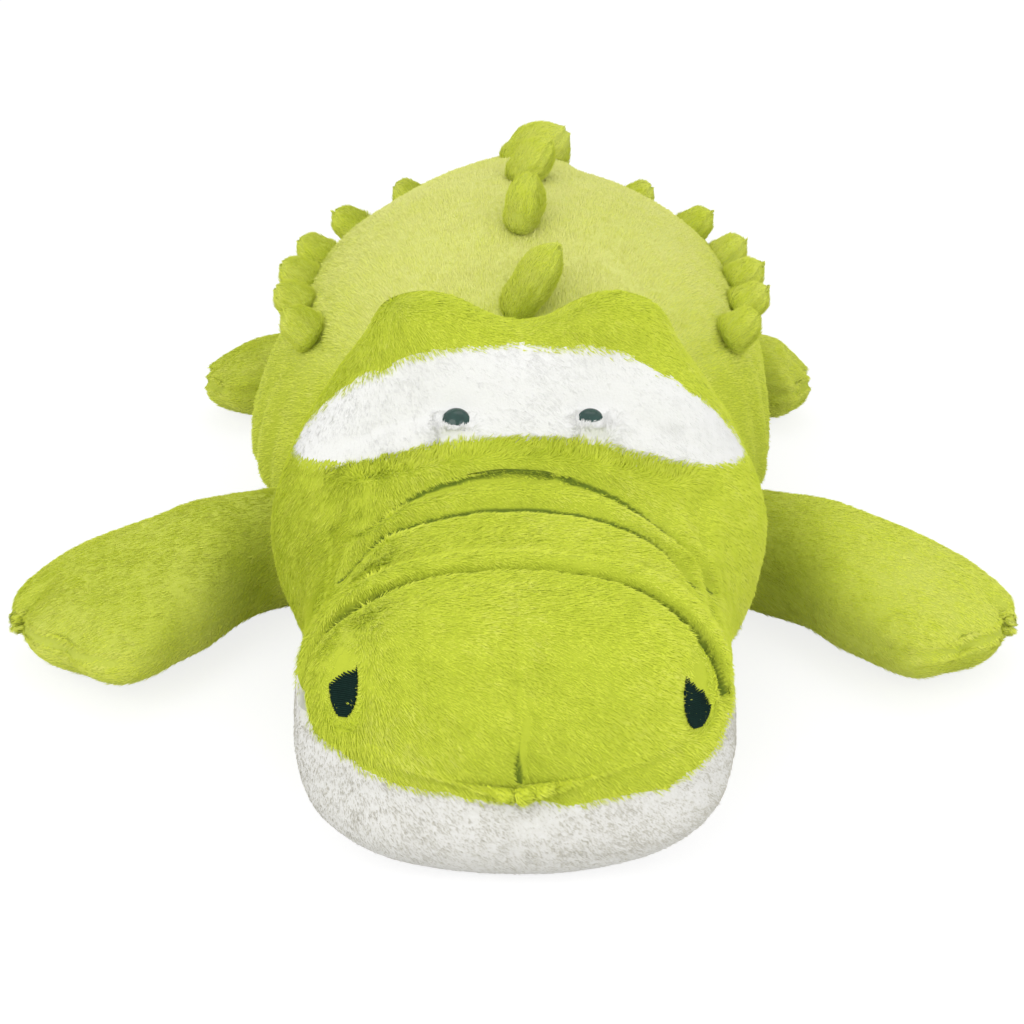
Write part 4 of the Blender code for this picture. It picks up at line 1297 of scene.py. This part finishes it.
def make_eyes(skin):
    """Glossy domes sunk in the white band, each with its washer behind it inside the cloth."""
    for (side_name, _, _), (ground, out) in zip(eye_places, skin.seats):
        across = Vector((0, 0, 1)).cross(out).normalized()
        turn = Matrix((across, out.cross(across), out)).transposed().to_4x4()
        dome, washer = dome_mesh("eye_dome_" + side_name, *eye_dome), washer_mesh("eye_back_" + side_name)
        for node, mesh, material, slot, sunk in (
            ("eye_" + side_name, dome, eye_plastic, "eye_plastic", eye_sunk),
            ("eye_washer_" + side_name, washer, washer_nylon, "nylon_washer", washer_sunk),
        ):
            mesh.transform(Matrix.Translation(ground - out * sunk) @ turn)
            piece = show(mesh.name, mesh, material)
            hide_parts(node)
            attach(piece, "head")


def add_stitch(bm, half, up, middle, lie):
    """One thread across the oval: a closed six-sided rod that follows the cloth and swells in its middle."""
    sink, rise = thread_size
    rings = []
    for step in range(7):
        share = step / 3 - 1
        across = half * share
        y = lie(across, up)[0] - 0.0004
        swell = thread_swell * math.sqrt(max(1 - share ** 2, 0.05))
        ring = []
        for corner in range(6):
            turn = math.radians(60 * corner)
            ring.append(bm.verts.new((middle[0] + across, y - swell - sink * math.cos(turn),
                                      middle[1] + up + rise * math.sin(turn))))
        rings.append(ring)
    for first, second in zip(rings, rings[1:]):
        join_rings(bm, first, second)
    bm.faces.new(rings[0])
    bm.faces.new(rings[-1][::-1])


def make_nostrils(skin):
    """Ovals of satin stitches, each a row of threads laid side by side across the oval."""
    cloth = skin.flat("grid")
    cloth = cloth[cloth[:, 1] < muzzle_y]
    half_width, half_height = stitch_oval
    for side_name, *middle in nostril_places:
        near = cloth[((cloth[:, 0] - middle[0]) / 0.014) ** 2 + ((cloth[:, 2] - middle[1]) / 0.024) ** 2 < 1]

        def lie(across, up):
            """Where the cloth's front is at a place, and how far off its nearest point is."""
            apart = np.hypot(near[:, 0] - middle[0] - across, near[:, 2] - middle[1] - up)
            weights = bell(apart, 0.0022) + 1e-9
            return float((near[:, 1] * weights).sum() / weights.sum()), apart.min()

        bm = bmesh.new()
        for row in range(stitch_rows):
            up = stitch_top * (2 * (row + 0.5) / stitch_rows - 1)
            half = half_width * math.sqrt(max(1 - (up / half_height) ** 2, 0.02))
            # A stitch that would leave the cloth is left out
            if max(lie(-half, up)[1], lie(half, up)[1]) <= stitch_gap:
                add_stitch(bm, half, up, middle, lie)
        bmesh.ops.recalc_face_normals(bm, faces=bm.faces)
        mesh = bpy.data.meshes.new("nostril_stitches_" + side_name)
        bm.to_mesh(mesh)
        bm.free()
        mesh.shade_smooth()
        stitches = show("nostril_stitches_" + side_name, mesh, satin_thread)
        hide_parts("nostril_" + side_name)
        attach(stitches, "head")


def aim_at(obj, target):
    obj.rotation_euler = (Vector(target) - obj.location).to_track_quat("-Z", "Y").to_euler()


def make_lamp(name, place, size, power):
    lamp = bpy.data.lights.new(name, "AREA")
    lamp.shape = "DISK"
    lamp.size = size
    lamp.energy = power
    obj = bpy.data.objects.new(name, lamp)
    bpy.context.scene.collection.objects.link(obj)
    obj.location = place
    aim_at(obj, lamp_target)


def seen_by_viewer(tree):
    """1 for rays that the viewer, a gloss or a clear surface sends, and 0 for light between surfaces."""
    node = tree.nodes.new("ShaderNodeLightPath")
    camera, glossy, clear = (Wire(tree, node.outputs[name]) for name in
                             ("Is Camera Ray", "Is Glossy Ray", "Is Transmission Ray"))
    return camera.maths("MAXIMUM", camera, camera.maths("MAXIMUM", glossy, clear))


def make_world(scene):
    """Even light from all round, which the viewer sees as white."""
    world = bpy.data.worlds.new("studio")
    scene.world = world
    world.use_nodes = True
    tree = world.node_tree
    tree.nodes.clear()
    soft = add_node(tree, "ShaderNodeBackground", {}, {0: white, 1: world_light})
    bright = add_node(tree, "ShaderNodeBackground", {}, {0: white, 1: white_light})
    seen = add_node(tree, "ShaderNodeMixShader", {}, {0: seen_by_viewer(tree), 1: soft, 2: bright})
    out = tree.nodes.new("ShaderNodeOutputWorld")
    tree.links.new(seen.socket, out.inputs[0])


def make_floor():
    """A pale floor that looks white to the viewer and keeps the toy's shadow."""
    mesh = bpy.data.meshes.new("floor")
    bm = bmesh.new()
    bmesh.ops.create_grid(bm, x_segments=1, y_segments=1, size=floor_half_size)
    bm.to_mesh(mesh)
    bm.free()
    material, tree, shader = new_material("floor_paper")
    set_constants(shader, Base_Color=(*floor_grey, 1), Roughness=1.0, Specular_IOR_Level=0.0)
    glow = add_node(tree, "ShaderNodeEmission", {}, {"Color": white, "Strength": floor_glow})
    plain = Wire(tree, shader.outputs[0])
    share = seen_by_viewer(tree) * floor_glow_share
    lifted = add_node(tree, "ShaderNodeMixShader", {}, {0: share, 1: plain, 2: glow})
    tree.links.new(lifted.socket, tree.nodes["Material Output"].inputs[0])
    show("floor", mesh, material)


def make_camera(scene):
    camera = bpy.data.cameras.new("camera")
    camera.sensor_width = sensor_width
    camera.lens = sensor_width * focal_length_pixels / picture_width
    obj = bpy.data.objects.new("camera", camera)
    scene.collection.objects.link(obj)
    obj.location = camera_place
    obj.rotation_euler = (math.radians(90 - camera_down_deg), 0, math.radians(camera_turn_deg))
    scene.camera = obj


def make_stage():
    scene = bpy.context.scene
    scene.view_settings.view_transform = "Standard"
    make_world(scene)
    make_floor()
    for lamp in lamps:
        make_lamp(*lamp)
    make_camera(scene)


head_skin = make_head()
make_torso()
for leg_name, leg_size in (("front_leg", front_leg), ("hind_leg", hind_leg)):
    for leg_side_name, leg_side in (("left", -1), ("right", 1)):
        make_leg(leg_name + "_" + leg_side_name, leg_size, leg_side)
make_tail()
make_spikes()
make_eyes(head_skin)
make_nostrils(head_skin)
make_stage()
